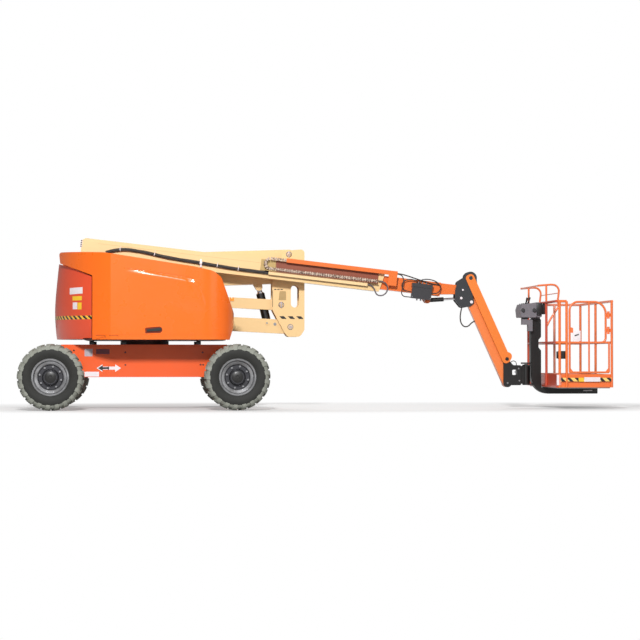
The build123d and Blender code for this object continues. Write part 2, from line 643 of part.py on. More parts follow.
# ================================================================ riser tower
def riser(start, end, depth, half, wall, bush):
    """Box boom with rounded ends and a cross tube for each pin."""
    solid = slab(strip(start, end, depth, depth / 2, depth / 2, 0, depth / 2 - 1), TOWER_Y - half, TOWER_Y + half)
    solid -= slab(strip(start, end, depth - 2 * wall, -bush - 40, -bush - 40),
                  TOWER_Y - half + wall, TOWER_Y + half - wall)
    for pin in (start, end):
        solid += cross_pin(pin, bush, TOWER_Y - TOWER_HALF + SIDE_GAP, TOWER_Y + TOWER_HALF - SIDE_GAP)
        solid -= cross_pin(pin, TOWER_PIN + RUN_FIT, TOWER_Y - TOWER_HALF, TOWER_Y + TOWER_HALF)
    return solid


def lower_boom():
    """Lower riser boom with the well and pin of the riser cylinder's foot."""
    boom = riser(LOWER_PIVOT, LOWER_ELBOW, RISER_DEPTH, RISER_HALF, RISER_WALL, 60)
    well = 62.0
    mouth = strip(shifted(FOOT_PIN, (-190, 10)), shifted(FOOT_PIN, (85, -4)), RISER_DEPTH, shift=RISER_DEPTH / 2 - 10)
    boom -= slab(mouth, TOWER_Y - well, TOWER_Y + well)
    reach = strip(shifted(FOOT_PIN, (60, 20)), shifted(FOOT_PIN, (200, 10)), 120, shift=40)
    boom -= slab(reach, TOWER_Y - well, TOWER_Y + well)
    boom += cross_pin(FOOT_PIN, 34, TOWER_Y - RISER_HALF - 8, TOWER_Y - 36)
    boom += cross_pin(FOOT_PIN, 34, TOWER_Y + 36, TOWER_Y + RISER_HALF + 8)
    boom += cross_pin(FOOT_PIN, 22, TOWER_Y - 40, TOWER_Y + 40)
    return boom


def lower_link():
    """Levelling link over the lower boom: two side bars with the cylinder between."""
    return open_link(LINK_PIVOT, LINK_ELBOW, -455, -40)


def open_link(start, end, gap_start, gap_end):
    """Box link, cut open over a stretch measured back from its far pin."""
    link = riser(start, end, LINK_DEPTH, LINK_HALF, RISER_WALL, 50)
    length = hypot(end[0] - start[0], end[1] - start[1])
    ux, uz = (end[0] - start[0]) / length, (end[1] - start[1]) / length
    low = (end[0] + ux * gap_start, end[1] + uz * gap_start)
    high = (end[0] + ux * gap_end, end[1] + uz * gap_end)
    link -= slab(strip(low, high, LINK_DEPTH + 4), TOWER_Y - LINK_HALF + RISER_WALL,
                 TOWER_Y + LINK_HALF - RISER_WALL)
    link += cross_pin(end, 50, TOWER_Y - LINK_HALF, TOWER_Y + LINK_HALF)
    return link - cross_pin(end, TOWER_PIN + RUN_FIT, TOWER_Y - TOWER_HALF, TOWER_Y + TOWER_HALF)


def elbow_upright():
    """Elbow: two side plates with a window, held apart by a front web and the pins."""
    low_x, low_z = LOWER_ELBOW
    right = low_x + 187
    points = [
        (low_x - 91, low_z + 1006, 60), (low_x - 241, low_z + 592, 120), (low_x - 241, low_z + 232, 120),
        (low_x - 84, low_z - 67, 50), (low_x - 33, low_z - 129, 40), (right - 60, low_z - 129, 60),
        (right, low_z - 40, 80), (right, low_z + 1031, 50)]
    face = outline(points)
    window = Pos(low_x + 60, low_z + 406) * Rot(0, 0, 90) * SlotOverall(296, SLOT_WIDTH)
    near = TOWER_Y - TOWER_HALF - TOWER_PLATE
    far = TOWER_Y + TOWER_HALF
    elbow = slab(face - window, near, near + TOWER_PLATE) + slab(face - window, far, far + TOWER_PLATE)
    elbow += box(right - 30, right - 14, near + TOWER_PLATE, far, low_z + 20, low_z + 980)
    for pin in (LOWER_ELBOW, LINK_ELBOW, MID_ELBOW, MIDLINK_ELBOW):
        elbow += cross_pin(pin, TOWER_PIN, near - 7, far + TOWER_PLATE + 7)
    return elbow


def mid_boom():
    """Upper riser boom, lug plates for the riser cylinder's head underneath."""
    boom = riser(MID_ELBOW, MID_PIVOT, RISER_DEPTH, RISER_HALF, RISER_WALL, 60)
    lug = hull_plate([(*HEAD_PIN, 46), (HEAD_PIN[0] - 30, HEAD_PIN[1] + 80, 62)])
    for low, high in ((TOWER_Y - 74, TOWER_Y - 54), (TOWER_Y + 54, TOWER_Y + 74)):
        boom += slab(lug, low, high)
    boom += cross_pin(HEAD_PIN, 26, TOWER_Y - 84, TOWER_Y - 54)
    boom += cross_pin(HEAD_PIN, 26, TOWER_Y + 54, TOWER_Y + 84)
    return boom


def mid_link():
    """Levelling link over the upper riser boom."""
    return riser(MIDLINK_ELBOW, MIDLINK_PIVOT, LINK_DEPTH, LINK_HALF, RISER_WALL, 50)


def riser_cylinder():
    """Pin, direction and lengths shared by the three stages of the riser cylinder."""
    span = hypot(HEAD_PIN[0] - FOOT_PIN[0], HEAD_PIN[1] - FOOT_PIN[1])
    angle = degrees(atan2(HEAD_PIN[1] - FOOT_PIN[1], HEAD_PIN[0] - FOOT_PIN[0]))
    return span, angle


def on_lane(point, y):
    """Point in space from a point of the X-Z plane."""
    return point[0], y, point[1]


def riser_cylinder_barrel():
    """Outer stage, pinned in the lower boom."""
    span, angle = riser_cylinder()
    r = RISER_CYL_RADII[0]
    low = along(FOOT_PIN, 40, angle)
    high = along(FOOT_PIN, span - 84, angle)
    barrel = rod(on_lane(low, TOWER_Y), on_lane(high, TOWER_Y), r)
    barrel += slab(hull_plate([(*FOOT_PIN, 38), (*low, 38)]), TOWER_Y - 30, TOWER_Y + 30)
    bore_low = along(FOOT_PIN, 62, angle)
    barrel -= rod(on_lane(bore_low, TOWER_Y), on_lane(high, TOWER_Y), RISER_CYL_RADII[1] + RUN_FIT)
    return barrel - cross_pin(FOOT_PIN, 22 + RUN_FIT, TOWER_Y - 40, TOWER_Y + 40)


def riser_cylinder_stage():
    """Middle stage."""
    span, angle = riser_cylinder()
    low = along(FOOT_PIN, 66, angle)
    high = along(FOOT_PIN, span - 72, angle)
    stage = rod(on_lane(low, TOWER_Y), on_lane(high, TOWER_Y), RISER_CYL_RADII[1])
    bore_low = along(FOOT_PIN, 84, angle)
    return stage - rod(on_lane(bore_low, TOWER_Y), on_lane(high, TOWER_Y), RISER_CYL_RADII[2] + RUN_FIT)


def riser_cylinder_rod():
    """Inner rod with the eye that sits between the mid boom's lugs."""
    span, angle = riser_cylinder()
    low = along(FOOT_PIN, 88, angle)
    high = along(FOOT_PIN, span - 30, angle)
    inner = rod(on_lane(low, TOWER_Y), on_lane(high, TOWER_Y), RISER_CYL_RADII[2])
    inner += slab(hull_plate([(*HEAD_PIN, 36), (*high, 34)]), TOWER_Y - 34, TOWER_Y + 34)
    return inner + cross_pin(HEAD_PIN, 24, TOWER_Y - 48, TOWER_Y + 48)


def upper_upright():
    """Mast head: plates of the tower lane and of the boom lane, joined across."""
    near = TOWER_Y - TOWER_HALF - 25
    far = TOWER_Y + TOWER_HALF
    tower_face = hull_plate([(*MID_PIVOT, 82), (*MIDLINK_PIVOT, 78)])
    tower_face += hull_plate([(*MIDLINK_PIVOT, 78), (*BOOM_PIVOT, 84)])
    tower_face += hull_plate([(*BOOM_PIVOT, 84), (*MID_PIVOT, 82)])
    boom_face = tower_face + hull_plate([(*MID_PIVOT, 82), (*LIFT_FOOT_PIN, 62)])
    boom_face += hull_plate([(*LIFT_FOOT_PIN, 62), (*MIDLINK_PIVOT, 78)])
    left = BOOM_Y - BOOM_WIDTH / 2 - 40
    outer_face = hull_plate([(*BOOM_PIVOT, 74), (MID_PIVOT[0] - 30, MID_PIVOT[1] + 10, 62), (*LIFT_FOOT_PIN, 56)])
    head = slab(boom_face, near, TOWER_Y - TOWER_HALF)
    head += slab(tower_face, far, far + TOWER_PLATE)
    head += slab(outer_face, left, left + 16)
    floor = strip(shifted(MID_PIVOT, (-60, -40)), shifted(MID_PIVOT, (60, -52)), 22)
    head += slab(floor, left + 16, near)
    brace = (BOOM_PIVOT[0] + 6, BOOM_PIVOT[1] - 20)
    head += cross_pin(brace, 30, TOWER_Y - TOWER_HALF, far)
    head += cross_pin(BOOM_PIVOT, BOOM_PIN, left - 6, near)
    head += cross_pin(LIFT_FOOT_PIN, 24, left - 4, near)
    for pin in (MID_PIVOT, MIDLINK_PIVOT):
        head += cross_pin(pin, TOWER_PIN, near, far + TOWER_PLATE + 6)
    return head


# ================================================================ main boom
def boom_strip(x_low, x_high, top, bottom):
    """X-Z face of a stretch of the boom between two depths below its top edge."""
    corners = (boom_point(x_low, top), boom_point(x_high, top), boom_point(x_high, bottom),
               boom_point(x_low, bottom))
    return make_face(Polyline(*corners, close=True))


def main_boom():
    """Base section: box tube with a chamfered tail, wear pads at the tip and its lugs."""
    low, high = BOOM_Y - BOOM_WIDTH / 2, BOOM_Y + BOOM_WIDTH / 2
    corners = (
        boom_point(BOOM_REAR + 40, 0), boom_point(BOOM_TIP, 0), boom_point(BOOM_TIP - 55, BOOM_DEPTH),
        boom_point(BOOM_REAR, BOOM_DEPTH), boom_point(BOOM_REAR - 10, 110), boom_point(BOOM_REAR, 26))
    boom = slab(make_face(Polyline(*corners, close=True)), low, high)
    inner = boom_strip(BOOM_REAR + 54, BOOM_TIP + 50, BOOM_WALL, BOOM_DEPTH - BOOM_WALL)
    boom -= slab(inner, low + BOOM_WALL, high - BOOM_WALL)
    pad = (BOOM_DEPTH - FLY_DEPTH) / 2 - SEAT
    side = (BOOM_WIDTH - FLY_WIDTH) / 2 - SEAT
    for x in (BOOM_TIP - 300, BOOM_TIP - 1500):
        ring = slab(boom_strip(x, x + 120, BOOM_WALL, BOOM_DEPTH - BOOM_WALL), low + BOOM_WALL, high - BOOM_WALL)
        ring -= slab(boom_strip(x - 5, x + 130, pad, BOOM_DEPTH - pad), low + side, high - side)
        boom += ring
    lug = hull_plate([(*BOOM_PIVOT, 66), (*boom_point(BOOM_PIVOT_X + 60, BOOM_DEPTH - 60), 150)])
    lug &= boom_strip(BOOM_REAR, BOOM_TIP, BOOM_DEPTH, BOOM_DEPTH + 400) + Pos(*BOOM_PIVOT) * Circle(66)
    boom += slab(lug, low + 6, low + 40) + slab(lug, high - 40, high - 6)
    boom -= cross_pin(BOOM_PIVOT, BOOM_PIN + RUN_FIT, low, high)
    foot = boom_point(LIFT_HEAD_PIN[0] - 10, BOOM_DEPTH)
    ear = hull_plate([(*LIFT_HEAD_PIN, 44), (foot[0], foot[1] + 10, 84)])
    ear &= boom_strip(BOOM_REAR, BOOM_TIP, BOOM_DEPTH, BOOM_DEPTH + 400)
    for y in (BOOM_Y - 66, BOOM_Y + 48):
        boom += slab(ear, y, y + 18)
    return boom


def hose_carrier_tray():
    """Back plate and shelf on the boom's left side that guide the hose carrier."""
    outer = BOOM_Y - BOOM_WIDTH / 2
    tray = slab(boom_strip(CHAIN_REAR - 120, CHAIN_ANCHOR, 2, CHAIN_LOW + CHAIN_THICK + SHELF_BELOW), outer - TRAY_PLATE, outer)
    shelf = boom_strip(CHAIN_REAR - 60, CHAIN_ANCHOR, CHAIN_LOW + CHAIN_THICK + SEAT, CHAIN_LOW + CHAIN_THICK + SHELF_BELOW)
    return tray + slab(shelf, outer - TRAY_PLATE - CHAIN_WIDTH - 14, outer - TRAY_PLATE)


CHAIN_HIGH = -37.0      # top of the upper run below the boom's top edge
CHAIN_LOW = 95.0        # top of the lower run


def boom_hose_bundle():
    """Hoses tied together along the boom's left side and under the carrier's shelf."""
    y = BOOM_Y - BOOM_WIDTH / 2 - BUNDLE_RADIUS - SEAT
    below = CHAIN_LOW + CHAIN_THICK + SHELF_BELOW + SEAT + BUNDLE_RADIUS
    route = list(BUNDLE_ROUTE)
    for station, sag in ((1120, 0), (1480, 5), (1840, 0), (2200, 6), (2565, 0), (BUNDLE_END, 3)):
        route.append(boom_point(station, below + sag))
    return hose([on_lane(point, y) for point in route], BUNDLE_RADIUS)


def carrier_hose():
    """Hose that loops from the end of the bundle up into the carrier's fixed end."""
    below = CHAIN_LOW + CHAIN_THICK + SHELF_BELOW + SEAT + BUNDLE_RADIUS + 3
    ring = 95.0
    start = boom_point(BUNDLE_END + 1, below)
    first = boom_point(BUNDLE_END + 42, below)
    end = boom_point(CHAIN_ANCHOR + SEAT, CHAIN_LOW + 14)
    centre = boom_point(CHAIN_ANCHOR + 39, CHAIN_LOW + 14 + ring)
    route = [start, first, shifted(first, (47.5, -40)), *around(centre, ring, 215, 450 - BOOM_DROP, 5), end]
    return hose([on_lane(point, -280) for point in route], LOOP_RADIUS)


def fly_hose_upper():
    """Hose from the push tube over the valve box to its clip on the side of the fly."""
    side = BOOM_Y - FLY_WIDTH / 2 - FLY_HOSE_RADIUS - SEAT
    return hose([
        on_lane(boom_point(TUBE_TIP + SEAT, -15), -270), on_lane(boom_point(TUBE_TIP + 60, -15), -270),
        (3460, -262, 1736), (3570, -254, 1699), (3680, -244, 1665),
        on_lane(boom_point(HOSE_CLIP - 84, 68), side), on_lane(boom_point(HOSE_CLIP - SEAT, 68), side)],
        FLY_HOSE_RADIUS)


def fly_hose_loop():
    """Hose that droops from the push tube down to the side of the valve box."""
    depth = VALVE_BOX[3] - 9
    route = [
        boom_point(TUBE_TIP + SEAT, -7), boom_point(TUBE_TIP + 48, -7), (3386, 1718), (3390, 1652),
        (3378, 1590), (3361, 1538), (3362, 1498), (3391, 1467.5), boom_point(VALVE_BOX[0] - 48, depth),
        boom_point(VALVE_BOX[0] - SEAT, depth)]
    return hose([on_lane(point, -288) for point in route], DROP_HOSE_RADIUS)


def fly_valve_box():
    """Closed box of the platform's valves, bolted to the side of the fly."""
    side = BOOM_Y - FLY_WIDTH / 2
    x0, x1, top, bottom = VALVE_BOX
    body = slab(boom_strip(x0, x1, top, bottom), side - VALVE_BOX_WIDE, side - SEAT)
    lid = slab(boom_strip(x0 - 6, x1 + 6, top - 5, top + 46), side - VALVE_BOX_WIDE - 6, side - SEAT)
    return body + lid


def jib_hose():
    """Hose that hangs from the knuckle's cheek in a loop and returns to the lower arm."""
    length = hypot(*JIB_VECTOR)
    ux, uz = JIB_VECTOR[0] / length, JIB_VECTOR[1] / length
    cheek = BOOM_Y - (CHEEK_INNER + CHEEK_OUTER) / 2
    start = shifted((4184.7, 1373.5), (-0.25 * 50.6, -0.968 * 50.6))
    reach = JIB_BOX_DEPTH / 2 + SEAT
    end = (JIB_LOW_PIN[0] + 249 * ux + reach * uz, JIB_LOW_PIN[1] + 249 * uz - reach * ux)
    return hose([
        on_lane(start, cheek), on_lane(shifted(start, (-0.25 * 52, -0.968 * 52)), cheek),
        (4150, -216, 1200), (4158, -213, 1128), (4200, -206, 1072), (4262, -197, 1076),
        on_lane(shifted(end, (44 * uz, -44 * ux)), -190), on_lane(end, -190)], JIB_HOSE_RADIUS)


def rotator_hose():
    """Small hose that loops out of the jib end's sloping edge and down to its flat one."""
    y = BOOM_Y - (CHEEK_INNER + CHEEK_OUTER) / 2
    route = [(4826.3, 602.8), *around((4862.4, 581.6), 40, 132.2, 0, 3), (4902.4, 565 + SEAT)]
    return hose([on_lane(point, y) for point in route], ROTATOR_HOSE_RADIUS)


def chain_lane():
    """Limits in Y of the hose carrier chain."""
    inner = BOOM_Y - BOOM_WIDTH / 2 - TRAY_PLATE - 5
    return inner - CHAIN_WIDTH, inner


def hose_carrier_run():
    """Lower run of the carrier, lying on its shelf and anchored at the boom's tip."""
    low, high = chain_lane()
    return slab(boom_strip(CHAIN_REAR + 4, CHAIN_ANCHOR, CHAIN_LOW, CHAIN_LOW + CHAIN_THICK), low, high)


def hose_carrier_chain():
    """Travelling bend of the carrier with the upper run that fills the push tube."""
    low, high = chain_lane()
    middle = boom_point(CHAIN_REAR, (CHAIN_HIGH + CHAIN_LOW + CHAIN_THICK) / 2)
    outer = (CHAIN_LOW + CHAIN_THICK - CHAIN_HIGH) / 2
    ring = Pos(*middle) * (Circle(outer) - Circle(outer - CHAIN_THICK))
    ring -= boom_strip(CHAIN_REAR, CHAIN_REAR + 400, CHAIN_HIGH - 50, CHAIN_LOW + CHAIN_THICK + 50)
    upper = boom_strip(CHAIN_REAR, CHAIN_REAR + TELESCOPE / 2 + 170, CHAIN_HIGH, CHAIN_HIGH + CHAIN_THICK)
    return slab(ring + upper, low, high)


def fly_boom():
    """Telescoping section with its nose fork for the knuckle and level cylinder lugs."""
    low, high = BOOM_Y - FLY_WIDTH / 2, BOOM_Y + FLY_WIDTH / 2
    top = (BOOM_DEPTH - FLY_DEPTH) / 2
    bottom = top + FLY_DEPTH
    boom = slab(boom_strip(FLY_REAR, FLY_BOX_END, top, bottom), low, high)
    boom -= slab(boom_strip(FLY_REAR - 10, FLY_BOX_END - 16, top + FLY_WALL, bottom - FLY_WALL),
                 low + FLY_WALL, high - FLY_WALL)
    root = boom_point(FLY_BOX_END - 90, (top + bottom) / 2 - 4)
    nose = hull_plate([(*KNUCKLE_PIVOT, 56), (*root, FLY_DEPTH / 2 - 10)])
    for y in (BOOM_Y - NOSE_HALF, BOOM_Y + NOSE_HALF - NOSE_SIDE):
        boom += slab(nose, y, y + NOSE_SIDE)
    slot = LEVEL_CYL_RADII[0] + 8
    boom -= slab(boom_strip(LEVEL_FOOT[0] + 40, FLY_BOX_END + 60, bottom - 84, bottom + 40),
                 BOOM_Y - slot, BOOM_Y + slot)
    roof = boom_point(FLY_BOX_END - 20, top + 14), (KNUCKLE_PIVOT[0] - 60, KNUCKLE_PIVOT[1] + 50)
    boom += slab(strip(*roof, 10), BOOM_Y - NOSE_HALF, BOOM_Y + NOSE_HALF)
    boom -= cross_pin(KNUCKLE_PIVOT, JIB_PIN + RUN_FIT, low, high)
    root = boom_point(LEVEL_FOOT[0] + 10, bottom)
    ear = outline([
        (root[0] - 108, root[1] + 20), (LEVEL_FOOT[0] - 34, LEVEL_FOOT[1] - 34, 30),
        (LEVEL_FOOT[0] + 26, LEVEL_FOOT[1] - 46, 26), (root[0] + 66, root[1] + 20)])
    ear &= boom_strip(FLY_REAR, FLY_BOX_END + 200, bottom, bottom + 300)
    for y in (BOOM_Y - 50, BOOM_Y + 34):
        boom += slab(ear, y, y + 16)
    boom += cross_pin(LEVEL_FOOT, 18, BOOM_Y - 56, BOOM_Y + 56)
    return boom + slab(boom_strip(HOSE_CLIP, HOSE_CLIP + 8, 48, 92), low - 22, low + 1)


def push_tube():
    """Tube that carries the hoses along with the fly, and its bracket on the fly."""
    low, high = chain_lane()
    low, high = low - 2 - TUBE_WALL, high + 2 + TUBE_WALL
    top = CHAIN_HIGH - 2 - TUBE_WALL
    bottom = CHAIN_HIGH + CHAIN_THICK + 2 + TUBE_WALL
    tube = slab(boom_strip(TUBE_REAR, TUBE_TIP, top, bottom), low, high)
    tube -= slab(boom_strip(TUBE_REAR - 10, TUBE_TIP - 8, top + TUBE_WALL, bottom - TUBE_WALL),
                 low + TUBE_WALL, high - TUBE_WALL)
    fly_side = BOOM_Y - FLY_WIDTH / 2
    fly_top = (BOOM_DEPTH - FLY_DEPTH) / 2
    rib = boom_strip(BOOM_TIP + 40, TUBE_TIP, bottom, fly_top + 120)
    tube += slab(rib, low, low + 12)
    web = boom_strip(BOOM_TIP + 60, TUBE_TIP, fly_top + 20, fly_top + 34)
    tube += slab(web, low, fly_side)
    web = boom_strip(BOOM_TIP + 60, TUBE_TIP, fly_top + 96, fly_top + 110)
    return tube + slab(web, low, fly_side)


def cylinder_pair(foot, head, y, radii, overlap, eye, pin, closing=0.0):
    """Barrel with its foot eye and rod with its head eye; closing is what it shortens by."""
    angle = degrees(atan2(head[1] - foot[1], head[0] - foot[0]))
    span = hypot(head[0] - foot[0], head[1] - foot[1])
    mouth = along(foot, overlap, angle)
    start = along(foot, eye, angle)
    barrel = rod(on_lane(start, y), on_lane(mouth, y), radii[0])
    barrel += slab(hull_plate([(*foot, eye), (*start, eye * 0.9)]), y - 26, y + 26)
    barrel -= rod(on_lane(along(foot, eye + 16, angle), y), on_lane(mouth, y), radii[1] + RUN_FIT)
    barrel -= cross_pin(foot, pin + RUN_FIT, y - 40, y + 40)
    tail = along(foot, eye + 20 + closing, angle)
    neck = along(foot, span - eye, angle)
    shaft = rod(on_lane(tail, y), on_lane(neck, y), radii[1])
    shaft += slab(hull_plate([(*head, eye * 0.8), (*neck, radii[1])]), y - 24, y + 24)
    return barrel, shaft


def lift_cylinder():
    """Main boom lift cylinder."""
    span = hypot(LIFT_HEAD_PIN[0] - LIFT_FOOT_PIN[0], LIFT_HEAD_PIN[1] - LIFT_FOOT_PIN[1])
    return cylinder_pair(LIFT_FOOT_PIN, LIFT_HEAD_PIN, BOOM_Y, LIFT_CYL_RADII, span - 110, 44, 24)


def level_cylinder():
    """Platform levelling cylinder under the fly's nose."""
    span = hypot(LEVEL_PIN[0] - LEVEL_FOOT[0], LEVEL_PIN[1] - LEVEL_FOOT[1])
    return cylinder_pair(LEVEL_FOOT, LEVEL_PIN, BOOM_Y, LEVEL_CYL_RADII, span - 225, 30, 18, LEVEL_CLOSING)


# ================================================================ knuckle, jib, rotator
def jib_knuckle():
    """Knuckle: two cheek plates with a back web and the pins of both jib arms."""
    top_x, top_z = JIB_TOP_PIN
    face = outline([
        (top_x - 84, top_z + 6, 60), (top_x - 20, top_z + 72, 50), (top_x + 72, top_z + 40, 50),
        (top_x + 88, top_z - 66, 40), (top_x + 26, top_z - 240, 60), (4345, 1385, 50),
        (4278, 1340, 40), (4165, 1319, 50), (4078, 1424, 50), (4084, 1560, 40), (4114, 1668, 40)])
    face += Pos(*JIB_TOP_PIN) * Circle(84)
    knuckle = slab(face, BOOM_Y - CHEEK_OUTER, BOOM_Y - CHEEK_INNER)
    knuckle += slab(face, BOOM_Y + CHEEK_INNER, BOOM_Y + CHEEK_OUTER)
    back = strip((4128, 1652), (4204, 1708), 16)
    knuckle += slab(back, BOOM_Y - CHEEK_INNER, BOOM_Y + CHEEK_INNER)
    for pin in (KNUCKLE_PIVOT, JIB_LOW_PIN):
        knuckle += cross_pin(pin, JIB_PIN, BOOM_Y - CHEEK_OUTER - 5, BOOM_Y + CHEEK_OUTER + 5)
    knuckle += cross_pin(JIB_TOP_PIN, JIB_PIN, BOOM_Y - JIB_ARM_OUTER - 6, BOOM_Y + JIB_ARM_OUTER + 6)
    for low, high in ((-CHEEK_OUTER - 6, -CHEEK_INNER), (CHEEK_INNER, CHEEK_OUTER + 6)):
        knuckle += cross_pin(LEVEL_PIN, 20, BOOM_Y + low, BOOM_Y + high)
    return knuckle


def jib_lower_arm():
    """Lower jib arm: box tube with rounded ends that swings between the cheeks."""
    low, high = BOOM_Y - JIB_BOX_HALF, BOOM_Y + JIB_BOX_HALF
    half = JIB_BOX_DEPTH / 2
    arm = slab(strip(JIB_LOW_PIN, JIB_LOW_END, JIB_BOX_DEPTH, half, half, 0, half - 1), low, high)
    arm -= slab(strip(JIB_LOW_PIN, JIB_LOW_END, JIB_BOX_DEPTH - 14, -90, -90), low + 7, high - 7)
    for pin in (JIB_LOW_PIN, JIB_LOW_END):
        arm -= cross_pin(pin, JIB_PIN + RUN_FIT, low - 1, high + 1)
    return arm


def jib_upper_arm():
    """Upper jib arm: channel astride the cheeks, its back away from the lower arm."""
    middle = JIB_ARM_BACK - JIB_ARM_DEPTH / 2
    plate = strip(JIB_TOP_PIN, JIB_TOP_END, JIB_ARM_DEPTH, JIB_ARM_BACK + 2, JIB_ARM_BACK + 2, middle, JIB_ARM_BACK)
    flare = hull_plate([(*JIB_TOP_END, JIB_ARM_BACK), (JIB_TOP_END[0] + 10, JIB_TOP_END[1] + 34, JIB_ARM_BACK + 8)])
    arm = slab(plate + flare, BOOM_Y - JIB_ARM_OUTER, BOOM_Y - JIB_ARM_INNER)
    arm += slab(plate + flare, BOOM_Y + JIB_ARM_INNER, BOOM_Y + JIB_ARM_OUTER)
    back = strip(JIB_TOP_PIN, JIB_TOP_END, 10, -130, -130, JIB_ARM_BACK - 5)
    arm += slab(back, BOOM_Y - JIB_ARM_INNER, BOOM_Y + JIB_ARM_INNER)
    for pin in (JIB_TOP_PIN, JIB_TOP_END):
        arm -= cross_pin(pin, JIB_PIN + RUN_FIT, BOOM_Y - 110, BOOM_Y + 110)
    return arm


def rotator_bracket():
    """Jib end: cheek plates for both arms, carrying the rotator's upright housing."""
    x, z = JIB_LOW_END
    top_x, top_z = JIB_TOP_END
    face = hull_plate([(top_x, top_z, 44), (x, z, 56)])
    face += outline([(x - 10, 300, 40), (CHEEK_END, 300, 20), (CHEEK_END, 565, 20), (4860, 565, 40), (top_x + 20, 640), (x - 10, 520)])
    face -= Pos(4885, 470) * RectangleRounded(80, 70, 16)
    bracket = slab(face, BOOM_Y - CHEEK_OUTER, BOOM_Y - CHEEK_INNER)
    bracket += slab(face, BOOM_Y + CHEEK_INNER, BOOM_Y + CHEEK_OUTER)
    bracket += box(4915, CHEEK_END, BOOM_Y - CHEEK_INNER, BOOM_Y + CHEEK_INNER, ROTATOR_BOTTOM, ROTATOR_TOP)
    bracket += box(CHEEK_END - 5, ROTATOR_X, BOOM_Y - 40, BOOM_Y + 40, ROTATOR_BOTTOM, ROTATOR_TOP)
    bracket += rod((ROTATOR_X, BOOM_Y, ROTATOR_BOTTOM), (ROTATOR_X, BOOM_Y, ROTATOR_TOP), ROTATOR_RADIUS)
    bracket -= rod((ROTATOR_X, BOOM_Y, 0), (ROTATOR_X, BOOM_Y, 900), JIB_PIN + RUN_FIT)
    bracket += cross_pin(JIB_LOW_END, JIB_PIN, BOOM_Y - CHEEK_OUTER - 5, BOOM_Y + CHEEK_OUTER + 5)
    return bracket + cross_pin(JIB_TOP_END, JIB_PIN, BOOM_Y - JIB_ARM_OUTER - 6, BOOM_Y + JIB_ARM_OUTER + 6)


# ================================================================ work platform
def platform_support():
    """Channel that hangs from the rotator, turns under the deck and carries the mast."""
    top = ROTATOR_TOP + SEAT
    bottom = ROTATOR_BOTTOM - SEAT
    left = ROTATOR_X + ROTATOR_RADIUS + 8
    wide = left + MAST_DEPTH
    face = outline([
        (left, MAST_TOP, 20), (left, SUPPORT_BOTTOM, 230), (PLATFORM_OUTER - 8, SUPPORT_BOTTOM, 12),
        (PLATFORM_OUTER - 8, SUPPORT_BOTTOM + SUPPORT_DEPTH), (wide, SUPPORT_BOTTOM + SUPPORT_DEPTH),
        (wide, 760, 20), (wide - 34, 800, 20), (wide - 34, 900, 20), (wide, 940, 20), (wide, MAST_TOP, 20)])
    support = slab(face, BOOM_Y - SUPPORT_HALF, BOOM_Y + SUPPORT_HALF)
    support -= slab(outline([(left + 84, 330, 30), (wide + 5, 330), (wide + 5, 700), (left + 60, 700, 30)]),
                    BOOM_Y + 10, BOOM_Y + SUPPORT_HALF + 1)
    for low, high in ((top, top + EAR_PLATE), (bottom - EAR_PLATE, bottom)):
        ear = hull_plate([(ROTATOR_X, 0, 50), (left + 20, 0, 62)])
        support += Pos(0, BOOM_Y, 0) * plan(ear, low, high)
    pin = rod((ROTATOR_X, BOOM_Y, bottom - EAR_PLATE), (ROTATOR_X, BOOM_Y, top + EAR_PLATE + 8), JIB_PIN)
    return support + pin


DECK_LOW = SUPPORT_BOTTOM + SUPPORT_DEPTH
DECK_HIGH = DECK_LOW + DECK_FRAME


def platform_deck():
    """Floor: perimeter tubes and cross bars under a tread plate."""
    x0, x1 = PLATFORM_INNER + DECK_INSET, PLATFORM_OUTER - DECK_INSET
    y0, y1 = PLATFORM_NEAR + DECK_INSET, PLATFORM_FAR - DECK_INSET
    deck = box(x0, x1, y0, y1, DECK_HIGH, DECK_HIGH + TREAD_PLATE)
    frame = box(x0, x1, y0, y1, DECK_LOW, DECK_HIGH)
    cell = (y1 - y0 - 5 * 40) / 4
    for index in range(4):
        start = y0 + 40 + index * (cell + 40)
        frame -= box(x0 + 40, x1 - 40, start, start + cell, DECK_LOW - 1, DECK_HIGH)
    return deck + frame


def toe_board(x_low, x_high, y_low, y_high):
    """Kick plate of one side."""
    return box(x_low, x_high, y_low, y_high, TOE_BOTTOM, TOE_TOP)


def rail_side(x, inward, posts):
    """Long side of the basket: posts, top and mid rails and the kick plate."""
    near, far = PLATFORM_NEAR + RAIL_RADIUS, PLATFORM_FAR - RAIL_RADIUS
    side = rod((x, near - RAIL_RADIUS, RAIL_TOP), (x, far + RAIL_RADIUS, RAIL_TOP), RAIL_RADIUS)
    side += rod((x, near, RAIL_MID), (x, far, RAIL_MID), RAIL_RADIUS - 1)
    for y in posts:
        side += rod((x, y, DECK_LOW + FRAME_STEP), (x, y, RAIL_TOP), RAIL_RADIUS - 0.5)
    edge = x + inward * (RAIL_RADIUS - TOE_PLATE - 1)
    side += toe_board(min(edge, edge + inward * TOE_PLATE), max(edge, edge + inward * TOE_PLATE), near, far)
    reach = inward * (DECK_INSET - RAIL_RADIUS)
    back = -7 * inward
    return side + box(min(x + back, x + reach), max(x + back, x + reach), near - 6, far + 6, DECK_LOW + FRAME_STEP, DECK_HIGH)


def platform_deck_block():
    """Space that the deck fills."""
    return box(PLATFORM_INNER + DECK_INSET, PLATFORM_OUTER - DECK_INSET,
               PLATFORM_NEAR + DECK_INSET, PLATFORM_FAR - DECK_INSET, DECK_LOW - 1, DECK_HIGH + TREAD_PLATE)


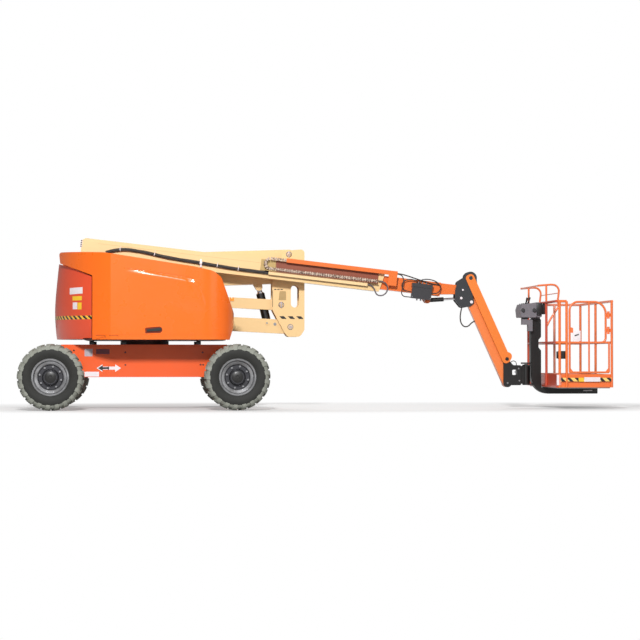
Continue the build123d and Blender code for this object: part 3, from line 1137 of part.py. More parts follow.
def corner_posts():
    """Space taken by the rails of the two long sides."""
    near, far = PLATFORM_NEAR + RAIL_RADIUS, PLATFORM_FAR - RAIL_RADIUS
    solid = None
    inner, outer = PLATFORM_INNER + RAIL_RADIUS, PLATFORM_OUTER - RAIL_RADIUS
    for x, y in ((outer, near), (outer, far), (inner, far)):
        post = rod((x, y, DECK_LOW - 5), (x, y, RAIL_TOP + RAIL_RADIUS + 5), RAIL_RADIUS)
        solid = post if solid is None else solid + post
    for x in (inner, outer):
        solid += box(x - RAIL_RADIUS, x + RAIL_RADIUS, near, far, DECK_LOW - 5, TOE_TOP)
        solid += box(x - DECK_INSET + RAIL_RADIUS, x + DECK_INSET - RAIL_RADIUS, near - 6, far + 6, DECK_LOW - 5, DECK_HIGH)
        solid += rod((x, near - RAIL_RADIUS, RAIL_TOP), (x, far + RAIL_RADIUS, RAIL_TOP), RAIL_RADIUS)
        solid += rod((x, near, RAIL_MID), (x, far, RAIL_MID), RAIL_RADIUS - 1)
    return solid


def basket_outer_rails():
    """Long side of the basket away from the boom."""
    near, far = PLATFORM_NEAR + RAIL_RADIUS, PLATFORM_FAR - RAIL_RADIUS
    return rail_side(PLATFORM_OUTER - RAIL_RADIUS, -1, (near, BOOM_Y, far))


def basket_boom_rails():
    """Long side of the basket next to the boom."""
    return rail_side(PLATFORM_INNER + RAIL_RADIUS, 1, (HOOP_NEAR, PLATFORM_FAR - RAIL_RADIUS))


def end_side(y, inward, posts, x_end):
    """Short side of the basket between its corner posts."""
    x0, x1 = PLATFORM_INNER + RAIL_RADIUS, PLATFORM_OUTER - RAIL_RADIUS
    edge = y + inward * (RAIL_RADIUS - TOE_PLATE - 1)
    side = toe_board(x0, x1, min(edge, edge + inward * TOE_PLATE), max(edge, edge + inward * TOE_PLATE))
    reach = inward * (DECK_INSET - RAIL_RADIUS)
    side += box(x0, x1, min(y, y + reach), max(y, y + reach), DECK_LOW + FRAME_STEP, DECK_HIGH)
    for height in (RAIL_TOP, RAIL_MID):
        side += rod((x0, y, height), (x_end, y, height), RAIL_RADIUS)
    for x in posts:
        side += rod((x, y, DECK_LOW + FRAME_STEP), (x, y, RAIL_TOP), RAIL_RADIUS)
    return side - corner_posts() - platform_deck_block()


def basket_far_rails():
    """Short closed side of the basket."""
    middle = (PLATFORM_INNER + PLATFORM_OUTER) / 2
    return end_side(PLATFORM_FAR - RAIL_RADIUS, -1, [middle], PLATFORM_OUTER - RAIL_RADIUS)


def basket_near_rails():
    """Short side of the basket with the gate opening."""
    post = GATE_LEFT - SHUT_GAP - RAIL_RADIUS
    corner = PLATFORM_INNER + RAIL_RADIUS + CORNER_INSET
    return end_side(PLATFORM_NEAR + RAIL_RADIUS, 1, [corner, post], post)


def platform_gate():
    """Entry gate: bent tube frame, centre upright, corner gussets and two hinge knuckles."""
    hinge_x, y = GATE_HINGE
    left = GATE_LEFT + GATE_TUBE
    stile = PLATFORM_OUTER - GATE_STILE_INSET
    low = TOE_TOP + SHUT_GAP + GATE_TUBE
    high = RAIL_TOP - 8
    middle = (left + hinge_x) / 2
    path = Plane.XZ.offset(-y) * FilletPolyline(
        (left, low), (left, high), (stile, high), (stile, RAIL_MID), (stile - 90, RAIL_MID), radius=[110, 150, 60])
    gate = sweep(Plane(origin=path @ 0, z_dir=path % 0) * Circle(GATE_TUBE), path)
    gate += rod((left, y, RAIL_MID), (hinge_x + 8, y, RAIL_MID), GATE_TUBE - 1)
    gate += rod((left - 2, y, low + 2), (hinge_x + 8, y, low + 2), GATE_TUBE - 1.5)
    gate += rod((hinge_x + 8, y, low + 2), (hinge_x + 8, y, RAIL_MID), GATE_TUBE - 2)
    gate += rod((middle, y, low), (middle, y, high), GATE_TUBE * 0.8)
    for x, run in ((left, 56), (hinge_x + 8, -56)):
        gusset = outline([(x, low), (x + run, low), (x, low + 70)] if run > 0 else [(x + run, low), (x, low), (x, low + 70)])
        gate += slab(gusset, y - 3, y + 3)
    for z in (1016, 1214):
        gate += box(stile, PLATFORM_OUTER - 2 * RAIL_RADIUS - SEAT, y - 4, y + 4, z - 22, z + 22)
        gate += rod((hinge_x, y, z - 47), (hinge_x, y, z + 47), 17)
    latch = outline([(left - 4, 985, 6), (left + 44, 985, 6), (left + 44, 1048, 6), (left - 4, 1060, 6)])
    return gate + slab(latch, y - 9, y + 9)


def hoop_path(x_post, y):
    """Centre line of a hoop, from its tip over the console and down inside the rail."""
    points = [
        (x_post - 112, HOOP_TOP - 14), (x_post + 60, HOOP_TOP), (x_post + 178, HOOP_TOP - 8),
        (x_post + 152, RAIL_TOP + 14), (x_post + 170, RAIL_TOP - 44), (x_post + 60, 1180), (x_post + 4, 1076)]
    return Plane.XZ.offset(-y) * FilletPolyline(*points, radius=[60, 84, 40, 34, 60])


def guard_hoops():
    """Two hoops over the console with the bars that join them."""
    x_post = PLATFORM_INNER + RAIL_RADIUS
    far = PLATFORM_FAR - 2 * RAIL_RADIUS - HOOP_RADIUS - SEAT
    solid = None
    for y in (HOOP_NEAR, far):
        path = hoop_path(x_post, y)
        hoop = sweep(Plane(origin=path @ 0, z_dir=path % 0) * Circle(HOOP_RADIUS), path)
        hoop -= rod((x_post, y, 900), (x_post, y, RAIL_TOP), RAIL_RADIUS - 0.5 + SEAT)
        hoop += rod((x_post, y, RAIL_TOP + RAIL_RADIUS), (x_post, y, HOOP_TOP - 6), HOOP_RADIUS)
        solid = hoop if solid is None else solid + hoop
    for x, z, r in ((x_post - 100, HOOP_TOP - 13, 10), (x_post + 166, HOOP_TOP - 110, 6)):
        solid += rod((x, HOOP_NEAR, z), (x, far, z), r)
    return solid


def control_console():
    """Platform control box with its sloping face, the darker box behind it and one below."""
    face = outline([(4950, 1196, 12), (5150, 1196, 12), (5150, 1375, 12), (5120, 1388, 10), (4962, 1372, 12), (4938, 1300, 16)])
    console = slab(face, BOOM_Y - 190, BOOM_Y + 190)
    back = outline([(5145, 1200, 12), (5228, 1200, 12), (5228, 1340, 14), (5200, 1396, 20), (5145, 1396, 12)])
    console += slab(back, BOOM_Y - 150, BOOM_Y + 150)
    left = ROTATOR_X + ROTATOR_RADIUS + 8
    console += box(left + 10, left + MAST_DEPTH - 10, BOOM_Y - 56, BOOM_Y + 56, MAST_TOP, 1200)
    console += box(4966, 5036, BOOM_Y - 150, BOOM_Y - 60, 1130, 1200)
    console += box(4966, left - SEAT, BOOM_Y - 150, BOOM_Y - 60, 1100, 1165)
    return console + box(5046, left - SEAT, BOOM_Y - 150, BOOM_Y - 60, 1016, 1110)


# ================================================================ all nodes
def build_nodes():
    """Every node of the machine by name, in the machine's own frame."""
    nodes = {
        "chassis_frame": chassis_frame(),
        "slew_ring": slew_ring(),
        "front_axle": front_axle(),
        "rear_axle": rear_axle(),
        "steer_knuckle_left": steer_knuckle(-1),
        "steer_knuckle_right": steer_knuckle(1),
        "tie_rod": tie_rod(),
        "turntable_base": turntable_base(),
        "counterweight": counterweight(),
        "battery_pack": battery_pack(),
        "hydraulic_unit": hydraulic_unit(),
        "hood_left": hood(-1),
        "hood_right": hood(1),
        "lower_boom": lower_boom(),
        "lower_link": lower_link(),
        "elbow_upright": elbow_upright(),
        "mid_boom": mid_boom(),
        "mid_link": mid_link(),
        "upper_upright": upper_upright(),
        "riser_cylinder_barrel": riser_cylinder_barrel(),
        "riser_cylinder_stage": riser_cylinder_stage(),
        "riser_cylinder_rod": riser_cylinder_rod(),
        "main_boom": main_boom(),
        "hose_carrier_tray": hose_carrier_tray(),
        "hose_carrier_run": hose_carrier_run(),
        "hose_carrier_chain": hose_carrier_chain(),
        "fly_boom": fly_boom(),
        "push_tube": push_tube(),
        "jib_knuckle": jib_knuckle(),
        "jib_lower_arm": jib_lower_arm(),
        "jib_upper_arm": jib_upper_arm(),
        "rotator_bracket": rotator_bracket(),
        "platform_support": platform_support(),
        "platform_deck": platform_deck(),
        "basket_outer_rails": basket_outer_rails(),
        "basket_boom_rails": basket_boom_rails(),
        "basket_far_rails": basket_far_rails(),
        "basket_near_rails": basket_near_rails(),
        "platform_gate": platform_gate(),
        "guard_hoops": guard_hoops(),
        "control_console": control_console(),
        "fly_valve_box": fly_valve_box(),
        "boom_hose_bundle": boom_hose_bundle(),
        "carrier_hose": carrier_hose(),
        "fly_hose_upper": fly_hose_upper(),
        "fly_hose_loop": fly_hose_loop(),
        "jib_hose": jib_hose(),
        "rotator_hose": rotator_hose(),
    }
    nodes["lift_cylinder_barrel"], nodes["lift_cylinder_rod"] = lift_cylinder()
    nodes["level_cylinder_barrel"], nodes["level_cylinder_rod"] = level_cylinder()
    for place, x, side in (("front_left", -AXLE_X, -1), ("front_right", -AXLE_X, 1),
                           ("rear_left", AXLE_X, -1), ("rear_right", AXLE_X, 1)):
        nodes["tyre_" + place] = tyre(x, side)
        nodes["rim_" + place] = rim(x, side)
    return nodes


def main():
    os.makedirs("parts", exist_ok=True)
    for name, solid in build_nodes().items():
        export_step(Pos(ORIGIN_X, 0, 0) * solid, f"parts/{name}.step")


if __name__ == "__main__":
    main()
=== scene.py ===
"""Articulating boom lift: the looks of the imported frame, piece by piece from the ground up."""
from math import cos, pi, radians, sin, tan

import bmesh
import bpy
from mathutils import Matrix, Vector


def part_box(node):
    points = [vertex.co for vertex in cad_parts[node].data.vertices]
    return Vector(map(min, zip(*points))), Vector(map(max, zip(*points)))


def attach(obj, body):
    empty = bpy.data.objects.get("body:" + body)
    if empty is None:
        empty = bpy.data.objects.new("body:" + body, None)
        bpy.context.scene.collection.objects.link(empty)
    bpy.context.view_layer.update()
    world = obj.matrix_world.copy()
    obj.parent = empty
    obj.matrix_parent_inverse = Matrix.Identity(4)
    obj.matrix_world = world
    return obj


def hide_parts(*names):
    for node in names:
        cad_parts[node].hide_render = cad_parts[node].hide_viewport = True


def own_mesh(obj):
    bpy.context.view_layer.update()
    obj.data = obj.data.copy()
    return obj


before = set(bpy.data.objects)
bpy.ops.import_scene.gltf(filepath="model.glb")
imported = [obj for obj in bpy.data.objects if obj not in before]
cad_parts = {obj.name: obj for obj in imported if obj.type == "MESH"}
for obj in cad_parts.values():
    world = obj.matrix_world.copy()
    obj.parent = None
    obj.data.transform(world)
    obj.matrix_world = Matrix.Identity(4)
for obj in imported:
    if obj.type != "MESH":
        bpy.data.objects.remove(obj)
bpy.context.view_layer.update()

# ---------------------------------------------------------------- chassis
# The chassis is a welded steel box between the axles, sprayed orange inside and out.
# It carries blank plates, the arrows for the way of travel and the bolts of the drive covers.
bearing_low, bearing_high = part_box("slew_ring")
SWING_X = (bearing_low[0] + bearing_high[0]) / 2


def at(x, y, z):
    """Point given in metres from the swing axis, the middle of the machine and the floor."""
    return Vector((SWING_X + x, y, z))


class Level:
    """One number of a shader. Sums and products of levels add Math nodes."""

    def __init__(self, nodes, socket):
        self.nodes, self.socket = nodes, socket

    def maths(self, operation, first, second):
        return self.nodes.node("Math", {"operation": operation}, first, second)

    def __add__(self, other):
        return self.maths("ADD", self, other)

    def __mul__(self, other):
        return self.maths("MULTIPLY", self, other)

    def __sub__(self, other):
        return self.maths("SUBTRACT", self, other)

    def __rsub__(self, other):
        return self.maths("SUBTRACT", other, self)

    def __truediv__(self, other):
        return self.maths("DIVIDE", self, other)

    def __pow__(self, other):
        return self.maths("POWER", self, other)

    def __gt__(self, other):
        return self.maths("GREATER_THAN", self, other)

    def __lt__(self, other):
        return self.maths("LESS_THAN", self, other)

    def wrap(self):
        return self.maths("FRACT", self, 0.0)

    def root(self):
        return self.maths("SQRT", self, 0.0)

    def clip(self):
        return self.nodes.node("Clamp", {}, self)


# Where a mix node keeps its two values and its result, by the kind of value.
MIX_SOCKETS = {"RGBA": (6, 7, 2), "FLOAT": (2, 3, 0)}


class Nodes:
    """A node tree, and the one way that a node is added to it."""

    def __init__(self, tree):
        self.tree = tree

    def node(self, kind, settings, *values, output=0, **named):
        made = self.tree.nodes.new("ShaderNode" + kind)
        for key, value in settings.items():
            setattr(made, key, value)
        for key, value in [*enumerate(values), *named.items()]:
            self.feed(made.inputs[key], value)
        return Level(self, made.outputs[output])

    def feed(self, socket, value):
        if isinstance(value, Level):
            self.tree.links.new(value.socket, socket)
        elif isinstance(value, tuple) and len(value) == 3 and socket.type == "RGBA":
            socket.default_value = (*value, 1.0)
        else:
            socket.default_value = value

    def mix(self, mask, under, over, kind="RGBA"):
        first, second, result = MIX_SOCKETS[kind]
        blend = self.node("Mix", {"data_type": kind}, mask, output=result)
        made = blend.socket.node
        self.feed(made.inputs[first], under)
        self.feed(made.inputs[second], over)
        return blend


class Finish(Nodes):
    """A surface finish: a material and the nodes that feed its shader."""

    def __init__(self, name, colour, roughness=0.5, metallic=0.0, coat=0.0):
        self.material = bpy.data.materials.new(name)
        self.material.use_nodes = True
        super().__init__(self.material.node_tree)
        self.shader = self.tree.nodes["Principled BSDF"]
        for socket, value in (("Base Color", colour), ("Roughness", roughness), ("Metallic", metallic),
                              ("Coat Weight", coat), ("Coat Roughness", 0.1)):
            self.feed(self.shader.inputs[socket], value)
        self.spot = self.node("TexCoord", {}, output="Object")
        self.x, self.y, self.z = [self.node("SeparateXYZ", {}, self.spot, output=axis) for axis in range(3)]

    def noise(self, scale, detail=3.0, roughness=0.55):
        return self.node("TexNoise", {}, Vector=self.spot, Scale=scale, Detail=detail, Roughness=roughness)

    def paint(self, colour):
        self.base = colour
        self.feed(self.shader.inputs["Base Color"], colour)

    def gloss(self, roughness):
        self.feed(self.shader.inputs["Roughness"], roughness)

    def bump(self, height, strength, distance):
        made = self.node("Bump", {}, Strength=strength, Distance=distance, Height=height)
        self.feed(self.shader.inputs["Normal"], made)

    def use(self, *nodes):
        for name in nodes:
            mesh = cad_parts[name].data
            mesh.materials.clear()
            mesh.materials.append(self.material)
        return self


def ink(red, green, blue):
    """Linear colour of a paint from its screen colour."""
    return tuple((v / 255 / 12.92) if v / 255 <= 0.04045 else ((v / 255 + 0.055) / 1.055) ** 2.4
                 for v in (red, green, blue))


def sprayed(name, colour, roughness=0.32, coat=0.4, dust=0.25, low=0.35, high=1.1):
    """Sprayed enamel: faint orange peel, cloudy gloss, darker stains, and dirt and dust low down."""
    made = Finish(name, colour, roughness, coat=coat)
    cloud, grain = made.noise(2.6), made.noise(210.0, 2.0)
    rise = ((made.z - low) / (high - low)).clip()
    dirt = ((1.0 - rise) * dust * (made.noise(13.0, 5.0) * 1.7 - 0.25)).clip()
    stain = ((made.noise(5.0, 6.0, 0.7) - 0.6) * 1.4).clip() * 0.3
    deep = tuple(v * 0.82 for v in colour)
    worn = made.mix(stain, made.mix(cloud * 0.55, colour, deep), tuple(v * 0.55 for v in colour))
    made.paint(made.mix(dirt, worn, ink(150, 132, 108)))
    made.gloss((dirt * 0.5 + cloud * 0.14 + stain * 0.3 + (roughness - 0.07)).clip())
    made.bump(grain + cloud * 0.4, 0.07, 0.0006)
    return made


def piece(name, shape, finish, body, sharp=32.0):
    """Closes a bmesh into a named object that rides on a body."""
    bmesh.ops.remove_doubles(shape, verts=shape.verts, dist=0.00002)
    bmesh.ops.recalc_face_normals(shape, faces=shape.faces)
    mesh = bpy.data.meshes.new(name)
    shape.to_mesh(mesh)
    shape.free()
    mesh.shade_smooth()
    mesh.set_sharp_from_angle(angle=radians(sharp))
    mesh.materials.append(finish.material)
    thing = bpy.data.objects.new(name, mesh)
    bpy.context.scene.collection.objects.link(thing)
    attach(thing, body)
    return thing


def block(shape, low, high, edge=0.0):
    """Box between two corners with its edges rounded off."""
    seat = Matrix.Translation((low + high) / 2) @ Matrix.Diagonal((*(high - low), 1))
    made = bmesh.ops.create_cube(shape, size=1.0, matrix=seat)
    if edge:
        edges = list({e for v in made["verts"] for e in v.link_edges})
        bmesh.ops.bevel(shape, geom=edges, offset=edge, segments=2, profile=0.5, affect="EDGES", material=-1)


def oblong(x0, x1, z0, z1):
    """Corners of an upright rectangle."""
    return [(x0, z0), (x1, z0), (x1, z1), (x0, z1)]


def sheet_metal(shape, corners, near, far, edge=0.0):
    """Flat outline in X and Z, drawn from near to far across the machine."""
    face = shape.faces.new([shape.verts.new(at(x, near, z)) for x, z in corners])
    grown = bmesh.ops.extrude_face_region(shape, geom=[face])["geom"]
    verts = [v for v in grown if isinstance(v, bmesh.types.BMVert)]
    bmesh.ops.translate(shape, verts=verts, vec=(0, far - near, 0))
    if edge:
        bmesh.ops.bevel(shape, geom=list(face.edges), offset=edge, segments=2, profile=0.5, affect="EDGES", material=-1)


def stud(shape, spot, along, radius, height, sides=16, top=None):
    """Round or six-sided stud that stands on a spot along a direction."""
    along = Vector(along).normalized()
    turn = along.to_track_quat("Z", "Y").to_matrix().to_4x4()
    bmesh.ops.create_cone(shape, cap_ends=True, segments=sides, depth=height,
                          radius1=radius, radius2=radius if top is None else top,
                          matrix=Matrix.Translation(spot + along * height / 2) @ turn)


def plate(name, corners, face, proud, finish, body, edge=0.0):
    """Thin blank plate or label that stands proud of a face on the near side."""
    shape = bmesh.new()
    sheet_metal(shape, corners, face, face - proud, edge)
    return piece(name, shape, finish, body)


sprayed("chassis_orange", ink(252, 92, 4), 0.36, 0.25, 0.08, 0.35, 0.8).use("chassis_frame")
black_paint = sprayed("black_enamel", ink(8, 8, 9), 0.42, 0.05, 0.02, 0.1, 0.9)
steel = Finish("zinc_bolt", ink(150, 150, 152), 0.35, 0.9)
steel.bump(steel.noise(180.0), 0.1, 0.0004)
white_plate = Finish("white_plate", ink(240, 238, 238), 0.45)
soiled = (white_plate.noise(40.0, 4.0) * 0.5).clip()
white_plate.paint(white_plate.mix(soiled, ink(246, 240, 242), ink(222, 202, 208)))
grey_plate = Finish("grey_plate", ink(168, 160, 164), 0.4, 0.3)
grey_plate.paint(grey_plate.mix(grey_plate.noise(60.0, 4.0), ink(150, 142, 146), ink(200, 188, 192)))
yellow_plate = Finish("yellow_plate", ink(250, 206, 40), 0.45)
yellow_plate.paint(yellow_plate.mix(yellow_plate.noise(50.0, 3.0) * 0.5, ink(252, 210, 50), ink(232, 170, 40)))

FRAME_SIDE = -0.560
LABEL = 0.001
plate("chassis_rating_plate", oblong(-0.764, -0.662, 0.683, 0.779), FRAME_SIDE, 0.0015, grey_plate,
      "chassis", 0.0008)
plate("chassis_dark_plate", oblong(-0.617, -0.445, 0.712, 0.776), FRAME_SIDE, LABEL,
      Finish("dark_red_plate", ink(120, 60, 66), 0.5), "chassis")
shape = bmesh.new()
sheet_metal(shape, oblong(-0.763, -0.579, 0.424, 0.486), FRAME_SIDE, FRAME_SIDE - LABEL)
for tip, tail in ((-0.598, -0.452), (-0.311, -0.464)):
    way = 1 if tip > tail else -1
    neck = tip - way * 0.062
    sheet_metal(shape, [(tail, 0.512), (neck, 0.512), (neck, 0.484), (tip + way * 0.012, 0.532),
                        (neck, 0.580), (neck, 0.552), (tail, 0.552)], FRAME_SIDE, FRAME_SIDE - LABEL)
piece("travel_arrow_white", shape, white_plate, "chassis")
plate("travel_arrow_black", [(-0.460, 0.519), (-0.532, 0.519), (-0.532, 0.497), (-0.592, 0.532),
                             (-0.532, 0.567), (-0.532, 0.545), (-0.460, 0.545)],
      FRAME_SIDE - LABEL, LABEL, black_paint, "chassis")
shape = bmesh.new()
for x, z in ((-0.244, 0.734), (-0.244, 0.574), (0.745, 0.733), (0.719, 0.577), (0.752, 0.576),
             (-0.9, 0.76), (0.93, 0.76)):
    for side in (-1, 1):
        stud(shape, at(x, -side * FRAME_SIDE, z), (0, side, 0), 0.011, 0.007, 6)
for x in (-0.262, 0.691, -0.671):
    for side in (-1, 1):
        block(shape, at(x - 0.03, side * 0.62 - 0.02, 0.834), at(x + 0.03, side * 0.62 + 0.02, 0.880), 0.004)
piece("chassis_bolts", shape, black_paint, "chassis")

# ---------------------------------------------------------------- axles
# Welded steel axles under both ends of the chassis, with the steering knuckles of one of
# them and the tie rod between the knuckles, all sprayed black.
black_paint.use("front_axle", "rear_axle", "steer_knuckle_left", "steer_knuckle_right", "tie_rod")

# ---------------------------------------------------------------- wheels
# Foam-filled tyres in grey rubber that leaves no marks: a black sidewall ring, and lugs
# in two staggered rows that wrap over the shoulders. They are moulded on the rim.
TYRE_HALF = 0.155
SIDEWALL_RADIUS, WHEEL_X, WHEEL_Z = 0.3525, 1.17, 0.42
CARCASS = ((0.125, 0.2225), (0.1485, 0.262), (0.1545, 0.318), (0.1500, 0.352), (0.134, 0.384),
           (0.095, 0.399), (0.0, 0.404))
LUG = ((0.1545, 0.344), (0.1535, 0.372), (0.128, 0.405), (0.088, 0.416), (-0.006, 0.4195), (-0.006, 0.398),
       (0.088, 0.392), (0.128, 0.378))
LUGS = 21
FULL_TURN = 2 * pi
HUB = ((0.106, 0.038), (0.106, 0.046), (0.097, 0.060), (0.092, 0.084), (0.070, 0.0975), (0.024, 0.099), (0.020, 0.094))

rubber = Finish("grey_rubber", ink(150, 152, 143), 0.82)
rubber.paint(rubber.mix((rubber.noise(11.0, 5.0) * 1.5 - 0.3).clip(), ink(158, 160, 150), ink(120, 122, 113)))
rubber.bump(rubber.noise(170.0) + rubber.noise(12.0) * 2.0, 0.15, 0.001)
sidewall = Finish("black_sidewall", ink(26, 27, 24), 0.7)
sidewall.paint(sidewall.mix(sidewall.noise(16.0, 5.0), ink(18, 19, 16), ink(36, 36, 32)))
sidewall.bump(sidewall.noise(150.0), 0.1, 0.001)
rim_paint = Finish("rim_silver", ink(168, 168, 170), 0.3, 0.75)
from_middle = (rim_paint.x - SWING_X) ** 2.0
swept = (from_middle + WHEEL_X ** 2 - from_middle.root() * (2 * WHEEL_X) + (rim_paint.z - WHEEL_Z) ** 2.0).root()
silver = rim_paint.mix((rim_paint.noise(9.0, 5.0) * 1.6 - 0.4).clip(), ink(196, 197, 200), ink(122, 120, 118))
rim_paint.paint(rim_paint.mix(((0.172 - swept) * 60.0).clip(), silver, ink(74, 74, 78)))
rim_paint.gloss(rim_paint.noise(7.0) * 0.25 + 0.2)


def turned(shape, profile, steps=96, sweep=FULL_TURN, start=0.0):
    """Profile of (across, radius) points spun about the wheel's axle."""
    verts = [shape.verts.new((0.0, across, radius)) for across, radius in profile]
    bmesh.ops.rotate(shape, verts=verts, cent=(0, 0, 0), matrix=Matrix.Rotation(start, 3, "Y"))
    edges = [shape.edges.new(pair) for pair in zip(verts, verts[1:])]
    whole = sweep == FULL_TURN
    geom = verts + edges if whole else [shape.faces.new(verts)]
    bmesh.ops.spin(shape, geom=geom, cent=(0, 0, 0), axis=(0, 1, 0), angle=sweep, steps=steps, use_merge=whole)


for tag in ("front_left", "front_right", "rear_left", "rear_right"):
    low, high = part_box("tyre_" + tag)
    centre = Vector([(a + b) / 2 for a, b in zip(low, high)])
    side = -1 if centre.y < 0 else 1
    seat = Matrix.Translation(centre)
    shape = bmesh.new()
    turned(shape, list(CARCASS) + [(-a, r) for a, r in CARCASS[-2::-1]])
    bmesh.ops.transform(shape, matrix=seat, verts=shape.verts)
    carcass = piece("carcass_" + tag, shape, rubber, "wheel_" + tag, 50)
    carcass.data.materials.append(sidewall.material)
    for face in carcass.data.polygons:
        spot = face.center - centre
        if spot.x ** 2 + spot.z ** 2 < SIDEWALL_RADIUS ** 2:
            face.material_index = 1
    shape = bmesh.new()
    for row in (1, -1):
        for index in range(LUGS):
            before = set(shape.verts)
            turn = 2 * pi * (index + (0.5 if row < 0 else 0.0)) / LUGS
            turned(shape, [(row * a, r) for a, r in LUG], 3, radians(7.6), turn)
            for vert in [v for v in shape.verts if v not in before]:
                vert.co = Matrix.Rotation(-row * (TYRE_HALF - abs(vert.co.y)) * 0.9, 3, "Y") @ vert.co
    bmesh.ops.transform(shape, matrix=seat, verts=shape.verts)
    piece("tread_" + tag, shape, rubber, "wheel_" + tag, 40)
    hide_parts("tyre_" + tag)
    rim_paint.use("rim_" + tag)
    shape = bmesh.new()
    out = Vector((0, side, 0))
    for index in range(8):
        ray = Matrix.Rotation(2 * pi * (index + 0.3) / 8, 3, "Y") @ Vector((0, 0, 0.137))
        stud(shape, centre + ray + out * 0.036, out, 0.0135, 0.022, 6)
        stud(shape, centre + ray + out * 0.058, out, 0.007, 0.009, 10)
    piece("wheel_nuts_" + tag, shape, steel, "wheel_" + tag)
    shape = bmesh.new()
    turned(shape, [(side * across, radius) for radius, across in HUB], 48)
    bmesh.ops.holes_fill(shape, edges=shape.edges, sides=0)
    for index in range(10):
        ray = Matrix.Rotation(2 * pi * index / 10, 3, "Y") @ Vector((0, 0, 0.082))
        stud(shape, ray + out * 0.090, out, 0.006, 0.009, 6)
    bmesh.ops.transform(shape, matrix=seat, verts=shape.verts)
    piece("hub_cover_" + tag, shape, black_paint, "wheel_" + tag)

# ---------------------------------------------------------------- turntable
# Steel deck on a slewing bearing, with battery cases on one side and the pump set on the other.
# They only show when the hoods are up.
sprayed("bearing_steel", ink(110, 40, 26), 0.5, 0.1).use("slew_ring")
sprayed("deck_grey", ink(70, 28, 22), 0.5, 0.1).use("turntable_base")
sprayed("battery_case", ink(40, 42, 46), 0.5, 0.1).use("battery_pack")
sprayed("tank_black", ink(34, 34, 36), 0.45, 0.1).use("hydraulic_unit")

# ---------------------------------------------------------------- counterweight
# Iron casting at the tail, sprayed orange and drawn redder and darker as painted shade, with a
# hazard band of black and yellow strips around it and four small blank labels on the near side.
# Painted shade: the casting's orange is drawn redder and darker than the hoods' orange.
shaded_cast = sprayed("counterweight_painted_shade", ink(234, 80, 42), 0.42, 0.2, 0.05)
round_tail = shaded_cast.y.maths("ARCTAN2", shaded_cast.y, shaded_cast.x - SWING_X)
stripe = (round_tail * 13.0 + shaded_cast.z * 13.0).wrap() > 0.5
band = (shaded_cast.z > 1.152) * (shaded_cast.z < 1.198)
shaded_cast.paint(shaded_cast.mix(band, shaded_cast.base, shaded_cast.mix(stripe, ink(250, 190, 60), ink(22, 20, 20))))
shaded_cast.use("counterweight")


def on_tail(name, x0, x1, z0, z1, finish, lean=0.0):
    """Thin label wrapped on the tail casting's side, set out from its surface."""
    shape = bmesh.new()
    bmesh.ops.create_grid(shape, x_segments=6, y_segments=2, size=0.5)
    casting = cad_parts["counterweight"]
    for vert in shape.verts:
        x = x0 + (vert.co.x + 0.5) * (x1 - x0)
        z = z0 + (vert.co.y + 0.5) * (z1 - z0) + (vert.co.x + 0.5) * lean
        hit, spot, _, _ = casting.ray_cast(at(x, -2.0, z), (0, 1, 0))
        vert.co = spot - Vector((0, 0.0015, 0)) if hit else at(x, -0.96, z)
    return piece(name, shape, finish, "turntable", 60)


on_tail("tail_label_white", -0.950, -0.781, 1.470, 1.552, white_plate, 0.008)
on_tail("tail_label_yellow", -0.912, -0.790, 1.392, 1.446, yellow_plate)
on_tail("tail_label_small", -0.908, -0.850, 1.280, 1.368, white_plate)
on_tail("tail_label_small_yellow", -0.846, -0.793, 1.276, 1.364, yellow_plate)

# ---------------------------------------------------------------- hoods
# Two moulded hoods over the batteries and the pump set, glossy orange plastic with a
# pressed crease. Each opens on hinges at the boom slot and shuts on a black paddle latch
# in a recess drawn as a dark sheet of painted shade, and has two thin L-shaped lines of
# painted shadow low on its side and an amber marker lamp at one end.
hood_finish = sprayed("hood_orange", ink(255, 112, 6), 0.28, 0.35, 0.03)
hood_finish.use("hood_left", "hood_right")
CREASE = ((-0.30, 1.800), (0.315, 1.711), (0.641, 1.649), (0.704, 1.599), (0.755, 1.422), (0.802, 1.240))
CREASE_RISE, CREASE_WIDTH = 0.011, 0.036
HOODS = ((-1, "hood_left"), (1, "hood_right"))
HOOD_SIDE = 1.0845


def crease_height(x, z):
    """How far the pressed panel stands out: steep at the crease, fading into the hood's side."""
    gap = 9.0
    for (ax, az), (bx, bz) in zip(CREASE, CREASE[1:]):
        along_x, along_z = bx - ax, bz - az
        if along_x * (z - az) - along_z * (x - ax) > 0:
            return 0.0
        share = min(max(((x - ax) * along_x + (z - az) * along_z) / (along_x ** 2 + along_z ** 2), 0), 1)
        gap = min(gap, ((x - ax - share * along_x) ** 2 + (z - az - share * along_z) ** 2) ** 0.5)
    fades = 1.12 - gap / 0.40, (x + 0.28) / 0.40, (z - 1.235) / 0.13
    by_gap, by_length, by_height = [min(max(fade, 0), 1) for fade in fades]
    return CREASE_RISE * min(gap / CREASE_WIDTH, 1) * (by_gap * by_length * by_height)


